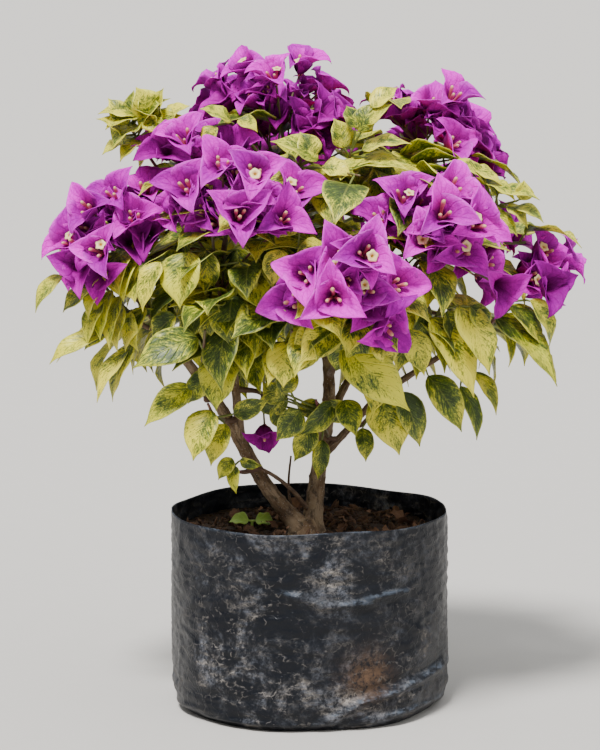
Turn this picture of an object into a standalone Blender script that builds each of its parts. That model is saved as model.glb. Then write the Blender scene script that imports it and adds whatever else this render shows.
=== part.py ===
"""Bougainvillea bonsai in a black film grow bag: bag, potting mix, trunk, sprays of leaves, bracts.

Metres, +Z up. The origin is the middle of the bag's base, on the surface that it stands on.
The plant is seen from -Y, and a point of it that the photograph shows is named by its column
and row there, with its depth behind the trunk.
"""

import math
import random
from collections import namedtuple

import bmesh
import bpy
from mathutils import Vector
from mathutils.bvhtree import BVHTree

# Grow bag: a 14 inch film bag, 355 mm wide when flat, filled to a round of 226 mm
BAG_RADIUS = 0.113
BAG_HEIGHT = 0.160
BAG_WALL = 0.0012
BAG_STEPS = 24
# The film from its rim to its base: share of the bag's radius, then height
FILM_PROFILE = [(0.992, 0.160), (0.997, 0.112), (1.0, 0.062), (1.0, 0.022), (0.975, 0.006), (0.920, 0.0)]
# Waves in the film: how far it stands out, how many round the bag, twist per metre, start
FILM_WAVES = [(0.0010, 3, 0, 1.2), (0.0012, 5, 18, 0.0)]
LOW_FILM_WAVE = (0.0014, 7, -40, 2.0)
SEAT_GAP = 0.0004
FILL_GAP = 0.0008

# Potting mix: level round the root crown, then sloping up to the rough part
SOIL_HEIGHT = 0.141
SOIL_FLOOR = 0.0022
SOIL_CORNER = 0.0008
SOIL_ROUGHNESS = 0.0022
SOIL_WAVES = (140, 120, 70)
SOIL_HOLLOW = 0.0025
SOIL_HOLLOW_RADIUS = 0.024
SOIL_LEVEL_RADIUS = 0.060

# Root crown, limbs and twigs
CROWN_RADIUS = 0.0125
CROWN_FOOT = 0.108
CROWN_TOP = 0.1445
CROWN_SIDES = 12
STOUT_LIMB = 0.004
LIMB_STEPS = 6
TWIG_RADIUS = 0.0015
TWIG_TAPER = (1.4, 1.2, 1.0)
TWIG_STARTS = 30
SHORTEST_TWIG = 0.010
TWIG_FALL_COST = 2
TWIG_RUN_IN = 0.35
TWIG_BERTH = 3

# Leafy stems and leaves
STEM_TAPER = 0.0004
STEM_BOW = 0.004
STEM_STEPS = 60
STEM_END = 0.98
LEAF_THICKNESS = 0.0012
LEAF_FOLD = 0.24
LEAF_ARCH = 0.10
LEAF_OUTLINE = [(0.30, 0.97), (0.66, 0.74)]
LEAF_FACING = (0, -0.5, 0.7)
PETIOLE_HALF = 0.0008
PETIOLE_SPACING = 0.0026
PETIOLE_DEPTH = 0.007

# Leaves of the far side: the range of each draw, and how they hang
GROWN_WANDER = 0.4
GROWN_PETIOLE = (0.009, 0.013)
GROWN_DROOP = (0.5, 1.1)
GROWN_LEVEL = 0.0
GROWN_LENGTH = (0.044, 0.060)
GROWN_SHAPE = (0.56, 0.68)
GROWN_START = 0.7
GROWN_OUT = 0.75
GROWN_FORWARD = 0.2
PETIOLE_FORWARD = 0.5

# Bracts in threes round a flower
BRACT_LENGTH = 0.038
BRACT_WIDTH = 0.031
BRACT_THICKNESS = 0.0010
BRACT_FOLD = 0.12
BRACT_OUTLINE = [(0.42, 1.0), (0.74, 0.56)]
BRACT_ROOT = 0.12
BRACT_START = math.radians(30)
BRACT_END = math.radians(84)
RACHIS_SHARES = (0.0, 0.25, 0.5)
RACHIS_RADII = (0.0015, 0.0014, 0.0012)
FORKS_FROM, FORKS_OVER = 0.25, 0.7
STALK_RADIUS = 0.0011
SHORTEST_STALK = 0.008
STALK_TURN = 0.4
THROAT_BELOW, THROAT_ABOVE = 0.0008, 0.0010
TRIPLET_WANDER = 0.12
TRIPLET_SIZES = (0.94, 1.06)
FACING_OUT, FACING_UP, FACING_EYE = 0.5, 0.1, 0.5
FLOWER_LENGTH = 0.019
FLOWER_RADIUS = 0.0052
FLOWER_FLARE = 0.002
FLOWER_NOTCH = 0.8
FLOWER_LEAN = 40

# Where the eye stood for the photograph, which is 600 columns by 750 rows
EYE = Vector((-0.0062, -2.415, 0.6225))
EYE_PITCH = math.radians(8.3)
EYE_FOCAL = 3000.0
MIDDLE_COLUMN, MIDDLE_ROW = 300.0, 375.0
PIXEL = 0.00082

# The crown's middle, which leaves and bracts face away from, and how far the crown reaches
CROWN = Vector((0.004, 0.0, 0.350))
REACH = Vector((0.200, 0.185, 0.165))
GOLDEN_TURN = math.radians(137.5)
UP = Vector((0, 0, 1))

# A blade that would cross a neighbour is moved in depth, turned round its stem or spread by these
DEPTH_TRIES = (0.0, -0.006, 0.006, -0.012, 0.012, -0.018, 0.018, -0.026, 0.026)
TURN_TRIES = (0.0, 0.6, -0.6, 1.2, -1.2)
SPREAD_TRIES = (1.0, 0.90, 1.14)
BLADE_CLEARANCE = 0.0010
STALK_CROSSING_COST = 0.4
FLOWER_EVERY = 3

Leaf = namedtuple("Leaf", "root base tip width face")
Spray = namedtuple("Spray", "name stem leaves")
Triplet = namedtuple("Triplet", "fork throat axis spin size")
Head = namedtuple("Head", "name rachis triplets")

# Limbs: the (column, row, depth) points of each, then its radius at the start and at the end
LIMBS = {
    "left_stem": ([
        (305, 533, 0.0), (288, 514, -0.003), (262, 481, -0.010), (240, 440, -0.018),
        (218, 402, -0.024), (188, 363, -0.030), (150, 312, -0.038), (116, 272, -0.044),
    ], 0.0075, 0.0024),
    "left_inner": ([
        (240, 440, -0.018), (237, 398, -0.030), (230, 345, -0.045), (222, 292, -0.058),
    ], 0.0042, 0.0022),
    "right_stem": ([
        (311, 533, 0.002), (315, 497, 0.003), (320, 458, 0.005), (328, 420, 0.004),
        (330, 375, 0.0), (320, 300, -0.002), (303, 215, 0.0), (285, 150, 0.004),
    ], 0.0078, 0.0024),
    "right_fork": ([
        (320, 458, 0.005), (342, 436, 0.0), (378, 396, -0.012), (408, 352, -0.028),
        (424, 310, -0.045),
    ], 0.0034, 0.0022),
    "right_outer": ([
        (378, 396, -0.012), (424, 366, -0.008), (474, 336, -0.006), (512, 306, -0.008),
    ], 0.0028, 0.0020),
    "upper_right": ([
        (320, 300, -0.002), (352, 250, 0.012), (390, 200, 0.022), (418, 165, 0.028),
    ], 0.0030, 0.0020),
    "front_middle": ([
        (330, 375, 0.0), (334, 366, -0.035), (338, 352, -0.075),
    ], 0.0030, 0.0022),
    "back_left": ([
        (218, 402, -0.024), (210, 368, 0.020), (200, 320, 0.060), (190, 270, 0.088),
    ], 0.0036, 0.0020),
    "back_right": ([
        (328, 420, 0.004), (348, 380, 0.040), (376, 330, 0.078), (392, 270, 0.100),
    ], 0.0036, 0.0020),
    "back_middle": ([
        (330, 375, 0.0), (318, 330, 0.050), (304, 270, 0.090), (292, 205, 0.108),
    ], 0.0032, 0.0020),
    "low_twig": ([
        (307, 508, -0.002), (290, 487, -0.016), (266, 470, -0.026), (250, 467, -0.031),
    ], 0.0018, 0.0014),
    "sprout": ([
        (304, 528, 0.006), (290, 505, 0.013), (288, 482, 0.013), (291, 456, 0.011),
    ], 0.0014, 0.0008),
}

# Sprays on the seen side: the (column, row, depth) of the leafy stem's start and end, then each
# leaf's base and tip, its width in pixels and how far its tip leans towards the eye
SEEN_SPRAYS = {
    "left_low": ((205, 396, -0.045), (205, 330, -0.092), [
        (198, 338, 133, 368, 38, 0.012), (191, 386, 144, 426, 28, 0.010),
        (209, 372, 188, 404, 24, -0.006),
    ]),
    "left_under": ((224, 420, -0.042), (208, 404, -0.078), [
        (211, 410, 193, 461, 34, 0.010), (226, 424, 210, 466, 25, 0.006),
        (234, 414, 269, 400, 20, 0.004),
    ]),
    "left_middle": ((228, 330, -0.066), (212, 232, -0.082), [
        (233, 296, 230, 347, 43, 0.012), (189, 252, 180, 309, 45, 0.012),
        (227, 352, 216, 411, 42, 0.012), (262, 336, 242, 363, 25, 0.004),
        (160, 262, 142, 312, 26, 0.006),
    ]),
    "left_outer": ((140, 322, -0.044), (88, 262, -0.048), [
        (62, 276, 34, 312, 24, 0.0), (101, 334, 48, 362, 22, 0.004),
        (128, 350, 97, 403, 22, 0.006), (134, 344, 112, 402, 24, -0.010),
        (104, 300, 86, 346, 24, 0.010), (122, 306, 116, 352, 26, 0.012),
        (146, 224, 127, 255, 20, 0.006),
    ]),
    "middle_left": ((286, 398, -0.040), (292, 330, -0.100), [
        (288, 342, 283, 388, 37, 0.010), (300, 410, 276, 441, 26, 0.004),
        (282, 250, 272, 286, 28, 0.002), (300, 226, 264, 231, 28, 0.0),
    ]),
    "front_middle": ((341, 338, -0.098), (345, 300, -0.118), [
        (337, 322, 299, 364, 35, 0.014), (343, 346, 410, 411, 44, 0.014),
        (408, 330, 424, 376, 30, 0.006), (360, 330, 352, 366, 24, -0.004),
    ]),
    "inner_low": ((328, 436, -0.010), (316, 400, -0.062), [
        (333, 403, 299, 435, 24, 0.010), (344, 400, 356, 437, 26, 0.012),
        (312, 424, 294, 462, 24, 0.002), (322, 440, 318, 480, 18, 0.004),
    ]),
    "right_low": ((362, 424, -0.014), (386, 386, -0.066), [
        (378, 396, 400, 455, 45, 0.010), (400, 392, 420, 447, 30, -0.004),
        (362, 428, 366, 462, 19, 0.006), (372, 382, 372, 414, 24, 0.012),
    ]),
    "right_middle": ((412, 346, -0.050), (446, 296, -0.090), [
        (431, 318, 474, 398, 39, 0.012), (458, 306, 490, 375, 40, 0.012),
        (428, 376, 462, 432, 34, 0.004), (404, 330, 396, 372, 26, 0.008),
    ]),
    "right_outer": ((468, 346, -0.014), (506, 300, -0.030), [
        (495, 316, 557, 387, 45, 0.012), (474, 372, 497, 415, 25, 0.010),
        (460, 386, 478, 440, 22, 0.006), (530, 300, 552, 346, 30, -0.008),
    ]),
    "low_twig": ((241, 472, -0.034), (233, 462, -0.044), [
        (232, 458, 218, 480, 16, 0.004), (235, 466, 236, 494, 14, 0.006),
        (240, 460, 262, 466, 12, 0.002),
    ]),
    "upper_left": ((178, 196, -0.012), (128, 124, -0.016), [
        (124, 136, 97, 118, 24, 0.006), (128, 124, 108, 98, 22, -0.004),
        (136, 116, 134, 90, 22, 0.0), (142, 124, 170, 98, 28, 0.006),
        (130, 144, 102, 154, 24, 0.010), (148, 132, 186, 116, 24, 0.004),
    ]),
    "middle_top": ((290, 196, -0.030), (302, 158, -0.066), [
        (318, 160, 270, 142, 34, 0.006), (322, 168, 352, 176, 28, 0.004),
        (300, 176, 262, 196, 24, 0.004),
    ]),
    "middle_upper": ((262, 158, -0.024), (226, 118, -0.052), [
        (231, 122, 200, 108, 22, 0.004), (238, 120, 258, 132, 20, 0.004),
        (214, 126, 206, 146, 20, 0.006),
    ]),
    "right_top": ((340, 196, -0.022), (352, 148, -0.040), [
        (344, 148, 334, 118, 27, -0.004), (362, 150, 412, 144, 26, 0.006),
        (348, 166, 414, 166, 24, 0.012), (372, 108, 398, 88, 22, -0.010),
        (366, 124, 392, 104, 26, 0.0), (352, 190, 340, 214, 24, 0.010),
    ]),
    "right_upper": ((446, 236, -0.026), (502, 204, -0.034), [
        (470, 168, 502, 186, 22, 0.004), (498, 192, 540, 200, 24, 0.006),
        (486, 214, 518, 236, 24, 0.008), (516, 208, 544, 222, 22, 0.004),
        (520, 200, 524, 180, 22, -0.004),
    ]),
}

# Heads of bracts on the seen side: the (column, row, depth) of the foot, the size of the bracts, the
# depth of the foremost flower, how far back the outermost ones lie, and each flower's column and row
SEEN_HEADS = {
    "top": ((283, 137, 0.002), 0.80, -0.004, 0.050, [
        (214, 76), (242, 62), (272, 70), (302, 58), (326, 80), (250, 94), (292, 98), (338, 104),
        (204, 100),
    ]),
    "upper_right": ((424, 178, 0.034), 0.84, 0.022, 0.040, [
        (434, 100), (474, 118), (408, 96), (458, 142), (494, 150), (456, 92), (388, 98),
    ]),
    "left": ((226, 236, -0.062), 0.96, -0.128, 0.050, [
        (184, 184), (220, 160), (256, 170), (298, 186), (240, 212), (168, 208), (206, 222),
        (286, 216), (264, 200),
    ]),
    "left_outer": ((120, 262, -0.030), 0.90, -0.082, 0.040, [
        (84, 206), (112, 190), (66, 238), (96, 250), (132, 214), (146, 184), (74, 268),
    ]),
    "left_upper": ((200, 186, -0.020), 0.84, -0.060, 0.030, [
        (152, 140), (182, 134), (216, 132),
    ]),
    "right": ((426, 262, -0.058), 0.96, -0.120, 0.050, [
        (404, 192), (426, 236), (456, 186), (466, 250), (492, 262), (380, 214), (480, 222),
        (446, 210),
    ]),
    "right_outer": ((506, 286, -0.004), 0.90, -0.048, 0.036, [
        (548, 251), (572, 256), (536, 278), (560, 288),
    ]),
    "front": ((350, 300, -0.092), 1.00, -0.176, 0.046, [
        (342, 258), (333, 297), (290, 301), (367, 290), (389, 331), (303, 273), (402, 284),
        (368, 250),
    ]),
    "low": ((263, 402, -0.036), 0.64, -0.046, 0.0, [
        (264, 438),
    ]),
}

# Rings of growth on the far side: elevation and sweep in degrees, how many, which of them bear heads
FAR_RINGS = [(-20, 112, 5, ()), (12, 112, 7, (1, 3, 5)), (42, 90, 5, (1, 3)), (66, 100, 2, (0,))]
FAR_LEAVES = 4
FAR_STEM = [(0.50, 0.0), (0.70, 0.004), (0.88, 0.0)]
FAR_TRIPLETS = 4
FAR_SIZE = 0.95
FAR_TURN = 1.7
FAR_HEAD_FOOT, FAR_HEAD_TOP, FAR_HEAD_SIDE = 0.44, 0.94, 0.86
FAR_HEAD_ROUND = 0.046

# Weed seedling: the (column, row, depth) of its top, then each leaf's tip
SEEDLING_TOP = (252, 520, 0.012)
SEEDLING_TIPS = [(229, 522), (275, 523)]
SEEDLING_WIDTH = 0.014
SEEDLING_RADIUS = 0.0009
SEEDLING_DEPTH = 0.008
SEEDLING_SIDES = 6
SEEDLING_FORK = 0.0015
SEEDLING_PETIOLE = 0.15

# Colour and roughness of each material
FINISHES = {
    "black_film": ((0.020, 0.020, 0.023), 0.45),
    "potting_mix": ((0.065, 0.042, 0.028), 0.95),
    "bark": ((0.27, 0.21, 0.16), 0.85),
    "variegated_leaf": ((0.42, 0.46, 0.12), 0.55),
    "magenta_bract": ((0.46, 0.035, 0.52), 0.60),
    "seedling_leaf": ((0.16, 0.42, 0.08), 0.55),
}


def seen(column, row, depth):
    """The point that the photograph shows at that column and row, this deep behind the trunk."""
    across = (column - MIDDLE_COLUMN) / EYE_FOCAL
    above = (MIDDLE_ROW - row) / EYE_FOCAL
    cosine, sine = math.cos(EYE_PITCH), math.sin(EYE_PITCH)
    ray = Vector((across, cosine + above * sine, above * cosine - sine))
    return EYE + ray * ((depth - EYE.y) / ray.y)


def outward(point):
    """The direction from the crown's middle to this point, in the crown's own proportions."""
    return Vector([a / r for a, r in zip(point - CROWN, REACH)]).normalized()


def square_to(vector, axis):
    """The part of this vector square to the axis, as a direction."""
    return (vector - axis * vector.dot(axis)).normalized()


def two_across(axis):
    """Two directions square to the axis and to each other."""
    across = square_to(UP if abs(axis.z) < 0.9 else Vector((0, 1, 0)), axis)
    return across, axis.cross(across)


def crumple(angle, height):
    """How far the film stands out there: slow waves all round, and shorter ones low down."""
    def wave(size, count, twist, start):
        return size * math.sin(count * angle + twist * height + start)

    low = max(0.0, 1 - height / BAG_HEIGHT)
    return sum(wave(*shape) for shape in FILM_WAVES) + low * wave(*LOW_FILM_WAVE)


def limb_lines():
    """Each limb's points and radii."""
    lines = {}
    for name, (points, start, stop) in LIMBS.items():
        line = [seen(*point) for point in points]
        last = len(line) - 1
        lines[name] = (line, [start + (stop - start) * i / last for i in range(last + 1)])
    return lines


def stem_point(stem, distance):
    """The point this far along a stem."""
    for start, stop in zip(stem, stem[1:]):
        run = (stop - start).length
        if distance <= run or stop is stem[-1]:
            return start.lerp(stop, min(distance / run, STEM_END))
        distance -= run


def leaf_roots(stem, places):
    """Where each seen leaf leaves its stem: as near to its base as its neighbours allow."""
    length = sum((b - a).length for a, b in zip(stem, stem[1:]))
    middle_depth = sum(p.y for p in stem) / len(stem)
    steps = [length * i / STEM_STEPS for i in range(2, STEM_STEPS - 1)]
    wanted = []
    for i, (column, row, *_) in enumerate(places):
        guess = seen(column, row, middle_depth)
        wanted.append((min(steps, key=lambda d: (stem_point(stem, d) - guess).length), i))
    limit = length - PETIOLE_SPACING / 2
    roots = {}
    for distance, i in sorted(wanted, reverse=True):
        limit = min(limit, distance)
        roots[i] = stem_point(stem, limit)
        limit -= PETIOLE_SPACING
    return [roots[i] for i in range(len(places))]


def seen_leaf(root, place, shift):
    """A leaf that the photograph shows."""
    column, row, tip_column, tip_row, width, lean = place
    base = seen(column, row, root.y - PETIOLE_DEPTH + shift)
    tip = seen(tip_column, tip_row, base.y - lean)
    return Leaf(root, base, tip, width * PIXEL, outward(base) + Vector(LEAF_FACING))


def grown_leaves(stem, draw):
    """Leaves that follow each other round a stem by the golden turn and hang outwards."""
    leaves = []
    for i in range(FAR_LEAVES):
        place = (i + GROWN_START) / FAR_LEAVES * (len(stem) - 1)
        at = min(int(place), len(stem) - 2)
        along = (stem[at + 1] - stem[at]).normalized()
        root = stem[at].lerp(stem[at + 1], place - at)
        across, aside = two_across(along)
        first_turn = i * GOLDEN_TURN + draw.uniform(-GROWN_WANDER, GROWN_WANDER)
        reach = draw.uniform(*GROWN_PETIOLE)
        droop = -UP * draw.uniform(*GROWN_DROOP)
        length = draw.uniform(*GROWN_LENGTH)
        width = length * draw.uniform(*GROWN_SHAPE)
        places = []
        for more in TURN_TRIES:
            turn = first_turn + more
            out = across * math.cos(turn) + aside * math.sin(turn)
            base = root + (out + along * PETIOLE_FORWARD).normalized() * reach
            away = outward(base)
            hang = (out + away) * GROWN_OUT + along * GROWN_FORWARD + droop
            hang.z = min(hang.z, GROWN_LEVEL)
            tip = base + hang.normalized() * length
            places.append(Leaf(root, base, tip, width, away * GROWN_OUT + UP))
        leaves.append(places)
    return leaves


def far_growth():
    """Name, heading and whether it bears a head, for each growth on the far side."""
    for ring_number, (elevation, sweep, count, heads) in enumerate(FAR_RINGS):
        tilt = math.radians(elevation)
        for i in range(count):
            swing = math.radians(sweep) * (2 * (i + 0.5) / count - 1)
            flat = Vector((math.sin(swing), math.cos(swing), 0))
            heading = flat * math.cos(tilt) + UP * math.sin(tilt)
            yield f"far_{ring_number}{i}", heading, i in heads


def crown_point(heading, share):
    """A point of the crown this way from its middle, at a share of its reach."""
    return CROWN + Vector([a * r for a, r in zip(heading, REACH)]) * share


def spray_plan():
    """Every spray of leaves, each leaf with the places that it may take."""
    sprays = []
    for name, (start, stop, places) in SEEN_SPRAYS.items():
        ends = [seen(*start), seen(*stop)]
        stem = [ends[0], ends[0].lerp(ends[1], 0.5) + outward(ends[0]) * STEM_BOW, ends[1]]
        leaves = []
        for root, place in zip(leaf_roots(stem, places), places):
            leaves.append([seen_leaf(root, place, shift) for shift in DEPTH_TRIES])
        sprays.append(Spray(name, stem, leaves))
    for name, heading, bears_head in far_growth():
        if bears_head:
            continue
        stem = [crown_point(heading, share) + UP * lift for share, lift in FAR_STEM]
        sprays.append(Spray(name, stem, grown_leaves(stem, random.Random(name))))
    return sprays


def head_of(name, foot, size, flowers, facing):
    """A head whose triplets fork off a short rachis, each with a bract pointing out of the head."""
    draw = random.Random(name)
    middle = sum((tries[0] for tries in flowers), Vector()) / len(flowers)
    heading = (middle - foot).normalized()
    throats_middle = middle - heading * FLOWER_LENGTH * size
    rachis = [foot.lerp(throats_middle, share) for share in RACHIS_SHARES]
    triplets = []
    for i, tries in enumerate(flowers):
        fork = rachis[0].lerp(rachis[-1], FORKS_FROM + FORKS_OVER * i / len(flowers))
        wander = Vector([draw.uniform(-TRIPLET_WANDER, TRIPLET_WANDER) for _ in range(3)])
        own_size = size * draw.uniform(*TRIPLET_SIZES)
        places = []
        for flower in tries:
            axis = (flower - fork).normalized() + outward(flower) * FACING_OUT + facing
            axis = (axis.normalized() + wander).normalized()
            throat = flower - axis * FLOWER_LENGTH * own_size
            stalk = throat - fork
            if stalk.length < SHORTEST_STALK or stalk.normalized().dot(axis) < STALK_TURN:
                continue
            across, aside = two_across(axis)
            away = flower - middle + heading * STALK_RADIUS
            spin = math.atan2(away.dot(aside), away.dot(across))
            places.append(Triplet(fork, throat, axis, spin, own_size))
        triplets.append(places)
    return Head(name, rachis, triplets)


def head_plan():
    """Every head of bracts, each triplet with the places that it may take."""
    up = UP * FACING_UP
    heads = []
    for name, (foot, size, front, doming, places) in SEEN_HEADS.items():
        middle = Vector((sum(c for c, _ in places), sum(r for _, r in places))) / len(places)
        widest = max((Vector(place) - middle).length for place in places) or 1.0
        flowers = []
        for place in places:
            depth = front + doming * ((Vector(place) - middle).length / widest) ** 2
            flowers.append([seen(*place, depth + shift) for shift in DEPTH_TRIES])
        heads.append(head_of(name, seen(*foot), size, flowers, up - Vector((0, FACING_EYE, 0))))
    for name, heading, bears_head in far_growth():
        if not bears_head:
            continue
        across, aside = two_across(heading)
        flowers = [[crown_point(heading, FAR_HEAD_TOP)]]
        for i in range(FAR_TRIPLETS - 1):
            turn = math.tau * i / (FAR_TRIPLETS - 1) + FAR_TURN * heading.x
            out = across * math.cos(turn) + aside * math.sin(turn)
            flowers.append([crown_point(heading, FAR_HEAD_SIDE) + out * FAR_HEAD_ROUND])
        heads.append(head_of(name, crown_point(heading, FAR_HEAD_FOOT), FAR_SIZE, flowers, up))
    return heads


def section(centre, side, up, half, fold, thickness):
    """A blade's section: left edge, upper rib, right edge and lower rib."""
    lift = up * half * fold
    rib = up * thickness / 2
    return [centre - side * half + lift, centre + rib, centre + side * half + lift, centre - rib]


def loft_blade(points, faces, first, sections, tip):
    """Joins the section at these indices to the next ones and the tip, alike on both faces."""
    last = first
    for corners in sections:
        after = list(range(len(points), len(points) + 4))
        points.extend(corners)
        for rib in (1, 3):
            for edge in (0, 2):
                faces.append((last[edge], last[rib], after[edge]))
                faces.append((last[rib], after[rib], after[edge]))
        last = after
    points.append(tip)
    for i in range(4):
        faces.append((last[i], last[(i + 1) % 4], len(points) - 1))


def blade_solid(sections, tip):
    """Points and faces of a blade that stands on its own."""
    points, faces = list(sections[0]), [(0, 1, 2), (0, 2, 3)]
    loft_blade(points, faces, [0, 1, 2, 3], sections[1:], tip)
    return points, faces


def turned_frame(side, up, tangent):
    """The side and up directions, turned the least that makes them square to the tangent."""
    if abs(tangent.dot(up)) < abs(tangent.dot(side)):
        new_up = square_to(up, tangent)
        return tangent.cross(new_up), new_up
    new_side = square_to(side, tangent)
    return new_side, new_side.cross(tangent)


def leaf_solid(leaf, swell=0.0):
    """Points and faces of a leaf: petiole, arched and folded blade, drawn-out tip."""
    chord = leaf.tip - leaf.base
    along = chord.normalized()
    up = square_to(leaf.face, along)
    side = along.cross(up)
    petiole = (leaf.base - leaf.root).normalized()
    thick = LEAF_THICKNESS + swell
    sections = []
    for centre, tangent in ((leaf.root, petiole), (leaf.base, (petiole + along).normalized())):
        sections.append(section(centre, *turned_frame(side, up, tangent), PETIOLE_HALF, 0, thick))
    for u, wide in LEAF_OUTLINE:
        centre = leaf.base + chord * u + up * LEAF_ARCH * chord.length * 4 * u * (1 - u)
        half = leaf.width / 2 * wide + swell / 2
        sections.append(section(centre, side, up, half, LEAF_FOLD, thick))
    return blade_solid(sections, leaf.tip.copy())


def bract_sections(triplet, number, spread, swell=0.0):
    """The two sections and the tip of one of a triplet's three bracts."""
    axis = triplet.axis
    across, aside = two_across(axis)
    turn = triplet.spin + number * math.tau / 3
    radial = across * math.cos(turn) + aside * math.sin(turn)
    side = axis.cross(radial)
    bend = BRACT_END * spread - BRACT_START
    root = triplet.throat + radial * STALK_RADIUS / 2

    def rib_point(u):
        angle = BRACT_START + bend * u
        rise = (math.sin(angle) - math.sin(BRACT_START)) / bend
        run = (math.cos(BRACT_START) - math.cos(angle)) / bend
        return root + (axis * rise + radial * run) * BRACT_LENGTH * triplet.size, angle

    sections = []
    for u, wide in BRACT_OUTLINE:
        centre, angle = rib_point(u)
        up = axis * math.sin(angle) - radial * math.cos(angle)
        half = BRACT_WIDTH / 2 * triplet.size * wide + swell / 2
        sections.append(section(centre, side, up, half, BRACT_FOLD, BRACT_THICKNESS + swell))
    return sections, rib_point(1.0)[0]


def swollen_bract(triplet, number, spread):
    """One bract on its own, a little larger, for finding out what it would touch."""
    sections, tip = bract_sections(triplet, number, spread, BLADE_CLEARANCE)
    middle = sections[0][0].lerp(sections[0][2], 0.5)
    root = [triplet.throat + (p - middle) * BRACT_ROOT for p in sections[0]]
    return blade_solid([root, *sections], tip)


def carried(frame, way):
    """The two directions of a frame, turned to this way without a twist."""
    across = square_to(frame[0], way)
    return across, way.cross(across)


def three_round(centre, frame, spin, radius):
    """Three points round the frame's axis, each between two bracts."""
    across, aside = frame
    turns = [spin + (k + 0.5) * math.tau / 3 for k in range(3)]
    return [centre + (across * math.cos(t) + aside * math.sin(t)) * radius for t in turns]


def join_three(faces, low, high):
    """Faces between two rings of three points."""
    for k in range(3):
        after = (k + 1) % 3
        faces.append((low + k, low + after, high + after))
        faces.append((low + k, high + after, high + k))


def prism(line, radius):
    """Points and faces of a three-sided rod along the line."""
    points, faces = [], [(0, 1, 2)]
    frame = two_across((line[1] - line[0]).normalized())
    for at, place in enumerate(line):
        before, after = line[max(at - 1, 0)], line[min(at + 1, len(line) - 1)]
        frame = carried(frame, (after - before).normalized())
        points.extend(three_round(place, frame, 0.0, radius))
        if at:
            join_three(faces, len(points) - 6, len(points) - 3)
    faces.append((len(points) - 3, len(points) - 2, len(points) - 1))
    return points, faces


def loft_bract(points, faces, corners, sections, tip):
    """Opens one side of the stalk, given by its four corners, into a bract."""
    start = len(points)
    points.extend(sections[0])
    left, upper, right, lower = range(start, start + 4)
    low_left, high_left, high_right, low_right = corners
    faces.extend([
        (low_left, high_left, left), (high_left, upper, left),
        (high_left, high_right, upper), (high_right, right, upper),
        (high_right, low_right, right), (low_right, lower, right),
        (low_right, low_left, lower), (low_left, left, lower),
    ])
    loft_blade(points, faces, [left, upper, right, lower], sections[1:], tip)


def loft_flower(points, faces, ring_start, triplet):
    """Carries the stalk's end on into a flower's tube and its flared limb."""
    lean = (triplet.axis + (points[ring_start] - triplet.throat) * FLOWER_LEAN).normalized()
    neck = len(points)
    length = FLOWER_LENGTH * triplet.size
    mouth = triplet.throat + lean * (length - FLOWER_FLARE)
    across, aside = carried(two_across(triplet.axis), lean)
    points.extend(three_round(mouth, (across, aside), triplet.spin, STALK_RADIUS))
    join_three(faces, ring_start, neck)
    rim = len(points)
    for j in range(6):
        turn = triplet.spin + (0.5 + j / 2) * math.tau / 3
        reach = FLOWER_RADIUS * (1.0 if j % 2 else FLOWER_NOTCH)
        out = across * math.cos(turn) + aside * math.sin(turn)
        points.append(triplet.throat + lean * length + out * reach)
    for k in range(3):
        after = neck + (k + 1) % 3
        middle = rim + 2 * k + 1
        faces.append((neck + k, rim + 2 * k, middle))
        faces.append((neck + k, middle, after))
        faces.append((after, middle, rim + (2 * k + 2) % 6))
    faces.extend([(rim, rim + j, rim + j + 1) for j in range(1, 5)])


def triplet_solid(triplet, spreads, has_flower):
    """A stalk whose three sides open into three bracts, with a flower on a tube between them."""
    axis, throat, spin = triplet.axis, triplet.throat, triplet.spin
    frame = two_across(axis)
    foot_frame = carried(frame, (throat - triplet.fork).normalized())
    points = [
        *three_round(triplet.fork, foot_frame, spin, STALK_RADIUS),
        *three_round(throat - axis * THROAT_BELOW, frame, spin, STALK_RADIUS),
        *three_round(throat + axis * THROAT_ABOVE, frame, spin, STALK_RADIUS),
    ]
    faces = [(0, 1, 2)]
    join_three(faces, 0, 3)
    for number, spread in enumerate(spreads):
        left, right = (number + 2) % 3, number
        corners = (3 + left, 6 + left, 6 + right, 3 + right)
        if spread is None:
            faces.append(corners[:3])
            faces.append((corners[0], corners[2], corners[3]))
            continue
        loft_bract(points, faces, corners, *bract_sections(triplet, number, spread))
    if has_flower:
        loft_flower(points, faces, 6, triplet)
    else:
        faces.append((6, 7, 8))
    return points, faces


def new_object(name, mesh, holder):
    obj = bpy.data.objects.new(name, mesh)
    holder.objects.link(obj)
    return obj


def solid_object(name, points, faces, holder):
    """A closed mesh with its faces pointing out."""
    mesh = bpy.data.meshes.new(name)
    mesh.from_pydata(points, [], faces)
    work = bmesh.new()
    work.from_mesh(mesh)
    bmesh.ops.recalc_face_normals(work, faces=work.faces)
    work.to_mesh(mesh)
    work.free()
    return new_object(name, mesh, holder)


def evaluated_mesh(obj):
    """The object's mesh with its modifiers applied."""
    bpy.context.view_layer.update()
    return bpy.data.meshes.new_from_object(obj.evaluated_get(bpy.context.evaluated_depsgraph_get()))


def tube(name, line, radii, holder, resolution=0):
    """A closed mesh tube along the line."""
    curve = bpy.data.curves.new(name, "CURVE")
    curve.dimensions = "3D"
    curve.bevel_depth = 1.0
    curve.bevel_resolution = resolution
    curve.use_fill_caps = True
    spline = curve.splines.new("POLY")
    spline.points.add(len(line) - 1)
    for point, place, radius in zip(spline.points, line, radii):
        point.co = (*place, 1)
        point.radius = radius
    guide = new_object(name + "_guide", curve, holder)
    mesh = evaluated_mesh(guide)
    bpy.data.objects.remove(guide)
    work = bmesh.new()
    work.from_mesh(mesh)
    bmesh.ops.remove_doubles(work, verts=work.verts, dist=1e-6)
    bmesh.ops.recalc_face_normals(work, faces=work.faces)
    work.to_mesh(mesh)
    work.free()
    return new_object(name, mesh, holder)


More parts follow.
